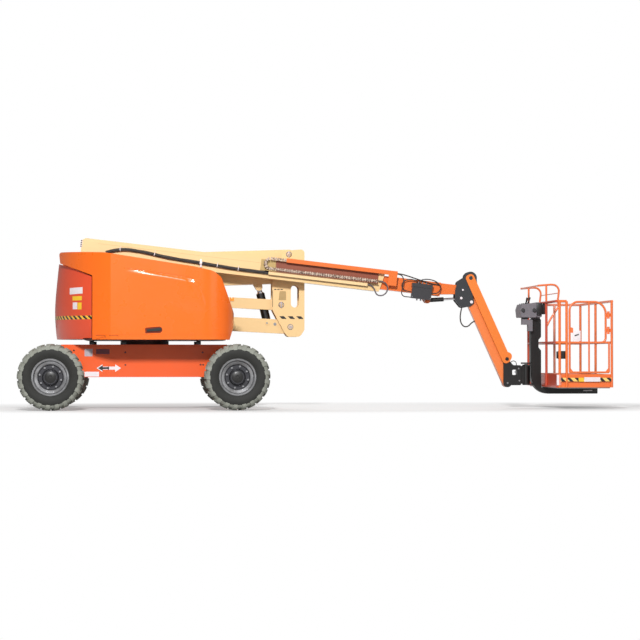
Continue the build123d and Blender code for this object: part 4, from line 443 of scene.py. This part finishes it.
for side, body in HOODS:
    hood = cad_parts[body]
    shape = bmesh.new()
    bmesh.ops.create_grid(shape, x_segments=96, y_segments=52, size=0.5)
    missed = []
    for vert in shape.verts:
        x, z = -0.26 + (vert.co.x + 0.5) * 1.09, 1.225 + (vert.co.y + 0.5) * 0.56
        hit, spot, _, _ = hood.ray_cast(at(x, side * 2.0, z), (0, -side, 0))
        vert.co = spot + Vector((0, side * (crease_height(x, z) - 0.0012), 0)) if hit else at(x, 0, z)
        if not hit or abs(spot.y) < 0.9:
            missed.append(vert)
    bmesh.ops.delete(shape, geom=missed, context="VERTS")
    bmesh.ops.recalc_face_normals(shape, faces=shape.faces)
    bmesh.ops.solidify(shape, geom=shape.faces, thickness=0.004)
    piece("pressed_panel_" + body, shape, hood_finish, body, 24)
# Painted shade and shadow: a dark orange sheet fills the latch recess, and thin dark strips low on the hood's side
# stand for the shadows of small tabs.
shadow_gap = Finish("painted_shadow_gap", ink(120, 40, 8), 0.8)
for side, body in HOODS:
    face = side * HOOD_SIDE
    shape = bmesh.new()
    sheet_metal(shape, [(0.012, 0.972), (0.200, 0.978), (0.224, 1.004), (0.222, 1.038), (0.196, 1.058),
                        (0.020, 1.044), (0.008, 1.030)], face, face + side * 0.002)
    piece("latch_recess_" + body, shape, shadow_gap, body)
    shape = bmesh.new()
    sheet_metal(shape, [(0.030, 0.996), (0.186, 1.002), (0.210, 1.012), (0.211, 1.034), (0.190, 1.043),
                        (0.150, 1.038), (0.032, 1.022)], face, face + side * 0.014, 0.005)
    stud(shape, at(0.186, face + side * 0.012, 1.020), (0, side, 0), 0.016, 0.006, 20)
    piece("latch_paddle_" + body, shape, black_paint, body)
    shape = bmesh.new()
    for x0, x1 in ((-0.606, -0.487), (-0.438, -0.326)):
        block(shape, at(x0, face - 0.0008, 0.943), at(x1, face + 0.0008, 0.948))
        block(shape, at(x1 - 0.005, face - 0.0008, 0.925), at(x1, face + 0.0008, 0.946))
    piece("hood_slots_" + body, shape, shadow_gap, body)
    shape = bmesh.new()
    block(shape, at(1.088, side * 0.80 - 0.05, 1.385), at(1.137, side * 0.80 + 0.05, 1.435), 0.008)
    lamp_finish = Finish("amber_marker_" + body, ink(255, 150, 40), 0.2, coat=0.6)
    piece("marker_" + body, shape, lamp_finish, body)

# ---------------------------------------------------------------- riser booms
# Cream box-section booms in two storeys, joined by the elbow's side plates. Two of the
# elbow's pins have keepers with two bolts and two have six-sided caps, and its side
# plate has three black warning strips, an olive access plate and a thin black line of
# painted shadow down its left edge.
sprayed("boom_cream", ink(246, 208, 148), 0.38, 0.25, 0.12).use(
    "lower_boom", "lower_link", "elbow_upright", "mid_boom", "mid_link", "upper_upright", "main_boom")
ELBOW_FACE, STRIP_FACE = -0.020, -0.0212
CAPPED_PINS, KEPT_PINS = ((1.917, 1.070), (1.780, 1.738)), ((1.898, 2.030), (1.796, 1.362))
shape = bmesh.new()
for x, z in CAPPED_PINS:
    stud(shape, at(x, ELBOW_FACE, z), (0, -1, 0), 0.034, 0.006, 24)
    stud(shape, at(x, -0.026, z), (0, -1, 0), 0.020, 0.010, 6)
for x, z in KEPT_PINS:
    stud(shape, at(x, ELBOW_FACE, z), (0, -1, 0), 0.032, 0.007, 24)
    block(shape, at(x - 0.008, -0.032, z - 0.040), at(x + 0.008, -0.026, z + 0.040), 0.002)
    for dz in (-0.032, 0.032):
        stud(shape, at(x, -0.030, z + dz), (0, -1, 0), 0.006, 0.006, 6)
piece("elbow_pin_keepers", shape, grey_plate, "elbow")
shape = bmesh.new()
for x in (1.770, 1.882, 1.994):
    sheet_metal(shape, [(x, 1.212), (x + 0.062, 1.212), (x + 0.098, 1.176), (x + 0.036, 1.176)], ELBOW_FACE, STRIP_FACE)
for x0 in (1.702, 1.744, 1.786):
    block(shape, at(x0, STRIP_FACE, 1.560), at(x0 + 0.030, ELBOW_FACE, 1.572))
for x, z in CAPPED_PINS + KEPT_PINS:
    stud(shape, at(x, -0.0195, z), (0, -1, 0), 0.038, 0.003, 28)
# Painted shadow: a thin black strip down the side plate's left edge, where its thickness throws a shade.
sheet_metal(shape, oblong(1.679, 1.685, 1.560, 1.332), ELBOW_FACE, STRIP_FACE)
piece("elbow_strips_and_edge_shadow", shape, black_paint, "elbow")
olive = Finish("olive_plate", ink(176, 146, 92), 0.5)
olive.paint(olive.mix(olive.noise(20.0, 4.0), ink(168, 138, 84), ink(190, 158, 104)))
plate("elbow_access_plate", [(1.761, 1.424), (1.860, 1.424), (1.860, 1.530), (1.848, 1.543), (1.775, 1.543)],
      ELBOW_FACE, 0.002, olive, "elbow", 0.001)
shape = bmesh.new()
for x, z in ((1.610, 1.123), (1.716, 1.108)):
    stud(shape, at(x, 0.030, z), (0, -1, 0), 0.020, 0.004, 20)
    stud(shape, at(x, 0.026, z), (0, -1, 0), 0.012, 0.010, 6)
piece("lower_boom_bolts", shape, steel, "lower_boom")

# ---------------------------------------------------------------- cylinders
# Hydraulic cylinders that raise the riser and the boom and level the jib: welded steel
# barrels sprayed black, with hard chromed rods, pinned at both ends.
black_paint.use("riser_cylinder_barrel", "lift_cylinder_barrel", "level_cylinder_barrel")
chrome = Finish("chrome_rod", ink(214, 212, 214), 0.14, 1.0)
chrome.gloss(chrome.noise(30.0) * 0.12 + 0.08)
chrome.use("riser_cylinder_rod", "riser_cylinder_stage", "lift_cylinder_rod", "level_cylinder_rod")

# ---------------------------------------------------------------- main boom
# Long welded box in cream that drops 6.5 degrees towards its tip, with the hose carrier's
# tray on its near side. A seam runs along it, and its tail has a black and white strip.
DROP = radians(6.5)
BOOM_Y = -0.150
BOOM_SIDE = -0.250


def on_boom(x, below, y):
    """Point square below the boom's top edge at a place along it."""
    return at(x - below * sin(DROP), y, 2.211 - (x + 0.7) * tan(DROP) - below * cos(DROP))


def along_boom(shape, x0, x1, top, bottom, near, far, edge=0.0):
    """Flat strip laid along the boom between two depths."""
    corners = [on_boom(x0, top, 0), on_boom(x1, top, 0), on_boom(x1, bottom, 0), on_boom(x0, bottom, 0)]
    sheet_metal(shape, [(c.x - SWING_X, c.z) for c in corners], near, far, edge)


shape = bmesh.new()
along_boom(shape, -0.822, -0.798, 0.030, 0.128, BOOM_SIDE, -0.2512)
piece("tail_strip_white", shape, white_plate, "main_boom")
shape = bmesh.new()
for index in range(4):
    along_boom(shape, -0.820, -0.800, 0.034 + index * 0.024, 0.048 + index * 0.024, -0.2512, -0.2520)
piece("tail_strip_black", shape, black_paint, "main_boom")
shape = bmesh.new()
along_boom(shape, -0.60, 1.55, 0.052, 0.0545, BOOM_SIDE, -0.2512)
piece("boom_weld_line", shape, Finish("weld_shade", ink(196, 160, 106), 0.5), "main_boom")

# Painted shade: the tray is drawn in a dark olive cream at its tail end and a brown orange, with random tone, along the
# rest, both paint colours as they look in shade.
tray_shade_paint = sprayed("tray_shade_paint", ink(150, 66, 32), 0.45, 0.1, 0.0)
ahead = ((tray_shade_paint.x - (SWING_X + 1.70)) * 60.0).clip()
shaded_orange = tray_shade_paint.mix(tray_shade_paint.noise(5.0), ink(128, 56, 28), ink(150, 74, 42))
tray_shade_paint.paint(tray_shade_paint.mix(ahead, ink(190, 160, 96), shaded_orange))
tray_shade_paint.use("hose_carrier_tray")

# ---------------------------------------------------------------- hose carrier
# Chain of moulded plastic links that folds over on itself as the fly runs out. Its lower
# run lies on the tray, fixed at its tip end. The bend and upper run travel at half the
# fly's speed.
link_plastic = Finish("link_plastic", ink(150, 132, 124), 0.55)
grime = (link_plastic.noise(48.0, 4.0) * 5.0 - 2.1).clip()
link_plastic.paint(link_plastic.mix(grime, ink(214, 192, 172), ink(84, 54, 40)))
link_plastic.bump(link_plastic.noise(240.0), 0.2, 0.0006)
CHAIN_NEAR, CHAIN_FAR = -0.317, -0.261
CHAIN_X, HIGH, LOW, THICK = 1.640, -0.037, 0.095, 0.044
PITCH, RUN_END, UPPER_RUN, BEND_LINKS = 0.030, 3.066, 1.565, 7


def link(shape, spot, turn):
    """One open link: two side plates with rounded ends and a cross bar top and bottom."""
    before = set(shape.verts)
    for y in (CHAIN_NEAR + 0.004, CHAIN_FAR - 0.004):
        seat = Matrix.Translation((0, y, 0)) @ Matrix.Rotation(pi / 2, 4, "X")
        made = bmesh.ops.create_cone(shape, cap_ends=True, segments=10, depth=0.007, matrix=seat,
                                     radius1=THICK / 2 - 0.001, radius2=THICK / 2 - 0.001)
        bmesh.ops.scale(shape, verts=made["verts"], vec=(0.62, 1, 1))
    for z in (-THICK / 2 + 0.003, THICK / 2 - 0.003):
        block(shape, Vector((-0.007, CHAIN_NEAR + 0.002, z - 0.0025)),
              Vector((0.007, CHAIN_FAR - 0.002, z + 0.0025)), 0.001)
    verts = [v for v in shape.verts if v not in before]
    bmesh.ops.rotate(shape, verts=verts, cent=(0, 0, 0), matrix=Matrix.Rotation(turn, 3, "Y"))
    bmesh.ops.translate(shape, verts=verts, vec=(spot.x, 0, spot.z))


shape = bmesh.new()
for index in range(int((RUN_END - CHAIN_X - 0.01) / PITCH)):
    link(shape, on_boom(CHAIN_X + 0.020 + index * PITCH, LOW + THICK / 2, 0), DROP)
lower_run = piece("carrier_lower_run", shape, link_plastic, "main_boom")
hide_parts("hose_carrier_run")
on_boom(3.080, LOW, (CHAIN_NEAR + CHAIN_FAR) / 2)
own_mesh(lower_run)
shape = bmesh.new()
for index in range(int(UPPER_RUN / PITCH)):
    link(shape, on_boom(CHAIN_X + 0.010 + index * PITCH, HIGH + THICK / 2, 0), DROP)
middle = on_boom(CHAIN_X, (HIGH + LOW + THICK) / 2, 0)
reach = (LOW + THICK - HIGH) / 2 - THICK / 2
for index in range(BEND_LINKS):
    angle = DROP + pi / 2 + pi * (index + 0.5) / BEND_LINKS
    link(shape, middle + Vector((cos(angle) * reach, 0, sin(angle) * reach)), -angle + pi / 2 + DROP * 2)
bend = piece("carrier_bend", shape, link_plastic, "hose_carrier")
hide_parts("hose_carrier_chain")

# ---------------------------------------------------------------- boom hoses
# Five black rubber hoses tied in a bundle along the boom, held by a white clamp and small
# ties, and a cream cover over them under the carrier. At the tip a grey sleeve loops
# round into the carrier's fixed end.
hose_rubber = Finish("hose_rubber", ink(30, 28, 28), 0.55)
scuffs = (hose_rubber.noise(24.0, 4.0) * 1.6 - 0.4).clip()
hose_rubber.paint(hose_rubber.mix(scuffs, ink(26, 25, 26), ink(70, 62, 56)))
hose_rubber.bump(hose_rubber.noise(300.0), 0.2, 0.0004)
grey_sleeve = Finish("grey_sleeve", ink(104, 96, 100), 0.6)
scuffs = (grey_sleeve.noise(45.0, 4.0) * 1.8 - 0.4).clip()
grey_sleeve.paint(grey_sleeve.mix(scuffs, ink(128, 120, 122), ink(64, 56, 64)))


def spline(name, points, radius):
    """Round hose on a smooth line through its route's own points."""
    curve = bpy.data.curves.new(name, "CURVE")
    curve.dimensions = "3D"
    line = curve.splines.new("NURBS")
    line.points.add(len(points) - 1)
    for point, place in zip(line.points, points):
        point.co = (*place, 1.0)
    line.order_u = 3
    line.use_endpoint_u = True
    line.resolution_u = 10
    curve.bevel_depth, curve.bevel_resolution, curve.use_fill_caps = radius, 4, True
    thing = bpy.data.objects.new(name, curve)
    bpy.context.scene.collection.objects.link(thing)
    return thing


def loop_hose(name, points, radius, finish, body, node):
    """Free loop of hose that leaves the machine at one fitting and goes back in at another."""
    thing = spline(name, points, radius)
    thing.data.materials.append(finish.material)
    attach(thing, body)
    if node:
        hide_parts(node)


def around(centre, radius, start, stop, count):
    """Points of a route that wraps a circle between two angles in degrees."""
    step = (stop - start) / count
    reach = radius / cos(radians(step / 2))
    angles = [radians(start + (index + 0.5) * step) for index in range(count)]
    return [centre + Vector((cos(a) * reach, 0, sin(a) * reach)) for a in angles]


BUNDLE_Y = -0.2728
bundle = [at(x, BUNDLE_Y, z) for x, z in
          ((-0.503, 2.030), (-0.330, 2.084), (-0.010, 2.040), (0.322, 1.961), (0.711, 1.903))]
bundle += [on_boom(x, 0.1698 + sag, BUNDLE_Y) for x, sag in
           ((1.120, 0), (1.480, 0.005), (1.840, 0), (2.200, 0.006), (2.565, 0), (2.930, 0.003))]
centre_line = spline("bundle_line", bundle, 0.0)
route = [v.co.copy() for v in bpy.data.meshes.new_from_object(centre_line).vertices]
bpy.data.objects.remove(centre_line)
STRANDS, STRAND_RADIUS, STRAND_REACH = 5, 0.0092, 0.0128
across = Vector((0, 1, 0))
shape = bmesh.new()
for strand in range(STRANDS):
    strands = []
    for index, spot in enumerate(route):
        ahead_of = (route[min(index + 1, len(route) - 1)] - route[max(index - 1, 0)]).normalized()
        turn = 2 * pi * strand / STRANDS + sin(index * 0.21) * 0.9
        strands.append(spot + (across * cos(turn) + across.cross(ahead_of) * sin(turn)) * STRAND_REACH)
    thread = spline("strand", strands, STRAND_RADIUS)
    thread.data.splines[0].resolution_u = 2
    shape.from_mesh(bpy.data.meshes.new_from_object(thread))
    bpy.data.objects.remove(thread)
bundle_piece = piece("boom_hoses", shape, hose_rubber, "main_boom", 60)
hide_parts("boom_hose_bundle")


def band_round(shape, spot, along, radius, width):
    """Short ring round the bundle."""
    stud(shape, spot - along * width / 2, along, radius, width, 20)


def nearest(x):
    """Place on the bundle's line at a distance from the swing axis, and its direction."""
    index = min(range(1, len(route) - 1), key=lambda k: abs(route[k].x - SWING_X - x))
    return route[index], (route[index + 1] - route[index - 1]).normalized()


shape = bmesh.new()
spot, along = nearest(0.722)
band_round(shape, spot, along, 0.0265, 0.030)
block(shape, spot + Vector((-0.012, -0.012, -0.058)), spot + Vector((0.012, 0.022, 0.050)), 0.003)
piece("bundle_clamp", shape, white_plate, "main_boom")
shape = bmesh.new()
for x in (-0.325, 0.135, 0.955, 1.208):
    spot, along = nearest(x)
    band_round(shape, spot, along, 0.0245, 0.008)
    stud(shape, spot + Vector((0.004, 0, 0.018)), (0.25, -0.1, 1.0), 0.003, 0.032, 8)
piece("bundle_ties", shape, white_plate, "main_boom")

shape = bmesh.new()
along_boom(shape, 1.630, 2.930, 0.1405, 0.1960, -0.2965, -0.2995, 0.001)
lip_paint = sprayed("tray_lip_cream", ink(250, 214, 158), 0.38, 0.25, 0.0)
piece("hose_cover", shape, lip_paint, "main_boom")

start, first = on_boom(2.931, 0.1728, -0.280), on_boom(2.972, 0.1728, -0.280)
ring = on_boom(3.105, 0.204, -0.280)
loop_hose("carrier_loop", [
    start, first, first + Vector((0.0475, 0, -0.040)), *around(ring, 0.095, 215, 443.5, 5),
    on_boom(3.0663, 0.109, -0.280)], 0.009, grey_sleeve, "main_boom", "carrier_hose")

# ---------------------------------------------------------------- fly boom
# Orange inner boom that telescopes out. The push tube beside it carries the hose chain,
# and a black valve box is bolted to its side behind the level cylinder's bracket, with
# five hoses looped between it, the tube and the boom.
sprayed("fly_orange", ink(240, 116, 40), 0.34, 0.2, 0.0).use("fly_boom", "push_tube")
sprayed("valve_box_black", ink(46, 44, 48), 0.4, 0.2, 0.0).use("fly_valve_box")
shape = bmesh.new()
for x in (3.53, 3.77):
    for below in (0.105, 0.262):
        stud(shape, on_boom(x, below, -0.300), (0, -1, 0), 0.007, 0.005, 6)
for x in (3.60, 3.65, 3.70):
    stud(shape, on_boom(x, 0.276, -0.262), (-sin(DROP), 0, -cos(DROP)), 0.010, 0.030, 6)
    stud(shape, on_boom(x, 0.083, -0.262), (sin(DROP), 0, cos(DROP)), 0.009, 0.026, 6)
piece("valve_fittings", shape, steel, "fly_boom")

fly_side = -0.2333
loop_hose("fly_upper_hose", [
    on_boom(3.3043, -0.015, -0.270), on_boom(3.364, -0.015, -0.270), at(3.460, -0.262, 1.736), at(3.570, -0.254, 1.699),
    at(3.680, -0.244, 1.665), on_boom(3.800, 0.068, fly_side), on_boom(3.8837, 0.068, fly_side)],
    0.008, hose_rubber, "fly_boom", "fly_hose_upper")
loop_hose("fly_drop_hose", [
    on_boom(3.3043, -0.007, -0.288), on_boom(3.352, -0.007, -0.288), at(3.386, -0.288, 1.718), at(3.390, -0.288, 1.652),
    at(3.378, -0.288, 1.590), at(3.361, -0.288, 1.538), at(3.362, -0.288, 1.498), at(3.391, -0.288, 1.4675),
    on_boom(3.472, 0.273, -0.288), on_boom(3.5197, 0.273, -0.288)],
    0.0065, hose_rubber, "fly_boom", "fly_hose_loop")

for name, y, length, points in (
        ("valve_hose_top", -0.262, 0.378,
         ((3.600, 0.083), (3.604, 0.045), (3.680, 0.010), (3.800, 0.014), (3.880, 0.060), (3.905, 0.105))),
        ("valve_hose_nose", -0.282, 0.185, ((3.777, 0.190), (3.835, 0.190), (3.885, 0.160), (3.905, 0.100))),
        ("valve_hose_back", -0.272, 0.482,
         ((3.511, 0.200), (3.425, 0.204), (3.368, 0.130), (3.425, 0.046), (3.550, 0.034), (3.640, 0.083)))):
    line = [on_boom(x, below, y) for x, below in points]
    line[-1].y = -0.240
    loop_hose(name, line, 0.007, hose_rubber, "fly_boom", None)

# ---------------------------------------------------------------- jib
# Dark grey knuckle plates carry two parallel orange arms of welded box. The pins have
# bright caps, and a hose hangs in a loop from the knuckle to the lower arm.
sprayed("knuckle_grey", ink(44, 46, 50), 0.36, 0.3, 0.0).use("jib_knuckle")
sprayed("jib_orange_upper", ink(250, 132, 46), 0.34, 0.2, 0.0).use("jib_upper_arm")
sprayed("jib_orange_lower", ink(250, 134, 66), 0.34, 0.2, 0.0).use("jib_lower_arm")
black_paint.use("rotator_bracket", "platform_support")
shape = bmesh.new()
for x, z, r in ((4.163, 1.451, 0.017), (4.300, 1.400, 0.020), (4.185, 1.560, 0.012)):
    stud(shape, at(x, -0.2305, z), (0, -1, 0), r, 0.005, 20)
piece("knuckle_pin_caps", shape, white_plate, "knuckle")
shape = bmesh.new()
for x, z in ((4.782, 0.330), (4.885, 0.475), (4.93, 0.52), (4.94, 0.36)):
    stud(shape, at(x, -0.2255, z), (0, -1, 0), 0.012, 0.006, 6)
piece("jib_end_bolts", shape, steel, "jib_end")
arm_way, arm_under = Vector((0.4107, 0, -0.9118)), Vector((-0.9118, 0, -0.4107))
end = at(4.300, -0.190, 1.400) + arm_way * 0.249 + arm_under * 0.0563
hang = Vector((-0.25, 0, -0.968))
top = at(4.1847, -0.2175, 1.3735) + hang * 0.0506
loop_hose("jib_loop_hose", [
    top, top + hang * 0.052, at(4.150, -0.216, 1.200), at(4.158, -0.213, 1.128), at(4.200, -0.206, 1.072),
    at(4.262, -0.197, 1.076), end + arm_under * 0.044, end],
    0.0085, hose_rubber, "knuckle", "jib_hose")
loop_hose("rotator_loop_hose", [
    at(4.8263, -0.2175, 0.6028), *around(at(4.8624, -0.2175, 0.5816), 0.040, 132.2, 0, 3), at(4.9024, -0.2175, 0.5653)],
    0.005, hose_rubber, "jib_end", "rotator_hose")

# ---------------------------------------------------------------- platform
# Basket of round steel tube on a pressed tread floor, carried from behind by the black
# channel and its mast. The toe board has a hazard band with blank labels.
sprayed("basket_orange", ink(246, 122, 62), 0.34, 0.2, 0.05, 0.2, 0.6).use(
    "basket_outer_rails", "platform_gate", "guard_hoops")
sprayed("basket_toe_orange", ink(246, 120, 50), 0.34, 0.2, 0.05, 0.2, 0.6).use("basket_near_rails")
# Painted light and shade: all the rails carry one orange paint, but the far rails are drawn paler, as if washed in
# light, and the boom-side rails darker red, as if in shade.
sprayed("basket_far_painted_light", ink(240, 152, 124), 0.36, 0.2, 0.05, 0.2, 0.6).use("basket_far_rails")
sprayed("basket_inner_painted_shade", ink(204, 78, 50), 0.36, 0.2, 0.05, 0.2, 0.6).use("basket_boom_rails")
tread = Finish("tread_plate", ink(150, 150, 150), 0.4, 0.8)
tread.bump(tread.noise(70.0), 0.3, 0.002)
tread.use("platform_deck")
TOE = -1.0610
shape = bmesh.new()
sheet_metal(shape, oblong(5.262, 5.976, 0.361, 0.408), TOE + LABEL, TOE)
hazard = Finish("hazard_tape", ink(250, 200, 70), 0.45)
slant = ((hazard.x + hazard.z) / 0.104).wrap() > 0.52
hazard.paint(hazard.mix(slant, ink(252, 214, 120), ink(26, 22, 20)))
piece("toe_hazard_tape", shape, hazard, "platform")
plate("toe_label_white", oblong(5.620, 5.830, 0.358, 0.415), TOE, LABEL, white_plate, "platform")
plate("toe_label_yellow", oblong(5.548, 5.616, 0.359, 0.409), TOE, LABEL, yellow_plate, "platform")
plate("toe_label_tall", oblong(5.262, 5.316, 0.312, 0.446), TOE, 0.0015, white_plate, "platform")
shape = bmesh.new()
block(shape, at(5.80, -0.2205, 0.221), at(5.924, -0.220, 0.236))
piece("support_label", shape, white_plate, "platform")

# ---------------------------------------------------------------- console
# Moulded grey control box with two levers and rows of switches on top, two round knobs on
# its near face and a small black box beside it. The basket also carries a black document
# box, a black block on its mast, and a blank plate with a lever on the gate.
console_paint = Finish("console_grey", ink(118, 114, 120), 0.5)
console_paint.paint(console_paint.mix(console_paint.noise(30.0, 4.0), ink(128, 124, 130), ink(104, 100, 106)))
console_paint.bump(console_paint.noise(260.0), 0.2, 0.0006)
console_paint.use("control_console")
shape = bmesh.new()
for x in (4.970, 5.120):
    stud(shape, at(x, BOOM_Y - 0.190, 1.290), (-0.2, -1, 0), 0.026, 0.030, 20, 0.022)
for y in (-0.10, 0.06):
    stud(shape, at(5.055, BOOM_Y + y, 1.376), (0.2, 0, 1), 0.020, 0.020, 16, 0.012)
    stud(shape, at(5.058, BOOM_Y + y, 1.390), (0.25, 0, 1), 0.009, 0.075, 12, 0.015)
for x in (4.985, 5.010, 5.035):
    for y in (-0.16, -0.05, 0.02, 0.12):
        stud(shape, at(x, BOOM_Y + y, 1.372), (0, 0, 1), 0.006, 0.012, 12)
block(shape, at(4.960, BOOM_Y - 0.152, 1.172), at(5.050, BOOM_Y - 0.148, 1.196), 0.001)
block(shape, at(5.150, -0.352, 1.236), at(5.262, -0.300, 1.384), 0.006)
piece("console_controls", shape, black_paint, "platform")
shape = bmesh.new()
block(shape, at(5.278, -1.018, 0.655), at(5.300, -0.960, 0.745), 0.003)
block(shape, at(5.300, -1.030, 0.650), at(5.398, -0.930, 0.752), 0.006)
block(shape, at(5.098, -0.205, 0.600), at(5.160, -0.095, 1.170), 0.006)
piece("document_box", shape, black_paint, "platform")
shape = bmesh.new()
sheet_metal(shape, oblong(5.474, 5.576, 0.878, 1.012), -1.053, -1.050, 0.001)
piece("gate_plate", shape, white_plate, "platform_gate")
shape = bmesh.new()
sheet_metal(shape, [(5.498, 0.942), (5.552, 0.960), (5.551, 0.972), (5.496, 0.955)], -1.062, -1.053, 0.002)
piece("gate_lever", shape, black_paint, "platform_gate")
shape = bmesh.new()
stud(shape, at(4.972, BOOM_Y - 0.02, 0.592), (1, 0, 0), 0.010, 0.134, 14)
piece("rotator_conduit", shape, hose_rubber, "platform")

# ---------------------------------------------------------------- studio
# A pale floor that runs to white behind and keeps the shadow, a soft sky, and three lamps:
# a key in front, a wide fill to the right and one behind.
scene = bpy.context.scene
scene.view_settings.view_transform = "Standard"

floor_mesh = bpy.data.meshes.new("studio_floor")
shape = bmesh.new()
bmesh.ops.create_grid(shape, x_segments=1, y_segments=1, size=60.0)
shape.to_mesh(floor_mesh)
shape.free()
floor = bpy.data.objects.new("studio_floor", floor_mesh)
scene.collection.objects.link(floor)
floor_finish = Finish("studio_white", (0.84, 0.84, 0.84), 0.9)
apart = (((floor_finish.x * 0.16) ** 2.0 + ((floor_finish.y - 0.4) * 0.42) ** 2.0).root() - 0.75) * 2.2
lit, mirrored, clear = [floor_finish.node("LightPath", {}, output=f"Is {way} Ray")
                        for way in ("Camera", "Glossy", "Transmission")]
floor_finish.paint(floor_finish.mix(lit, (0.34, 0.34, 0.34), (0.86, 0.86, 0.86)))
glow = floor_finish.node("Emission", {}, (1.0, 1.0, 1.0, 1.0), 1.0)
share = ((lit + clear + mirrored).clip() * (apart.clip() * 0.72 + 0.28)).clip()
both = floor_finish.node("MixShader", {}, share, Level(floor_finish, floor_finish.shader.outputs[0]), glow)
floor_finish.tree.links.new(both.socket, floor_finish.tree.nodes["Material Output"].inputs["Surface"])
floor_mesh.materials.append(floor_finish.material)

world = bpy.data.worlds.new("studio_sky")
scene.world = world
world.use_nodes = True
sky = Nodes(world.node_tree)
looked_at = sky.node("LightPath", {}, output="Is Camera Ray")
through = sky.node("LightPath", {}, output="Is Transmission Ray")
strength = sky.mix(looked_at.maths("MAXIMUM", looked_at, through), 0.31, 1.0, "FLOAT")
backdrop = sky.tree.nodes["Background"]
sky.feed(backdrop.inputs["Strength"], strength)
sky.feed(backdrop.inputs["Color"], (1.0, 1.0, 1.0))

for name, spot, aim, size, power in (
        ("key", (-3.0, -15.0, 8.2), (-0.5, 0.0, 1.0), 1.6, 2450.0),
        ("fill", (9.0, -12.0, 5.0), (1.5, 0.0, 1.0), 7.0, 170.0),
        ("back", (0.0, 7.0, 9.0), (0.0, 0.0, 1.0), 6.0, 520.0)):
    lamp = bpy.data.lights.new(name, "AREA")
    lamp.energy, lamp.size = power, size
    stand = bpy.data.objects.new(name, lamp)
    stand.location = spot
    stand.rotation_euler = (Vector(aim) - Vector(spot)).to_track_quat("-Z", "Y").to_euler()
    scene.collection.objects.link(stand)

view = bpy.data.cameras.new("view")
view.lens, view.sensor_width = 107.4, 36.0
view.clip_end = 200.0
camera = bpy.data.objects.new("view", view)
camera.location = (-2.141, -25.17, 0.70)
camera.rotation_euler = (radians(90 + 1.05), 0.0, radians(-5.1))
scene.collection.objects.link(camera)
scene.camera = camera
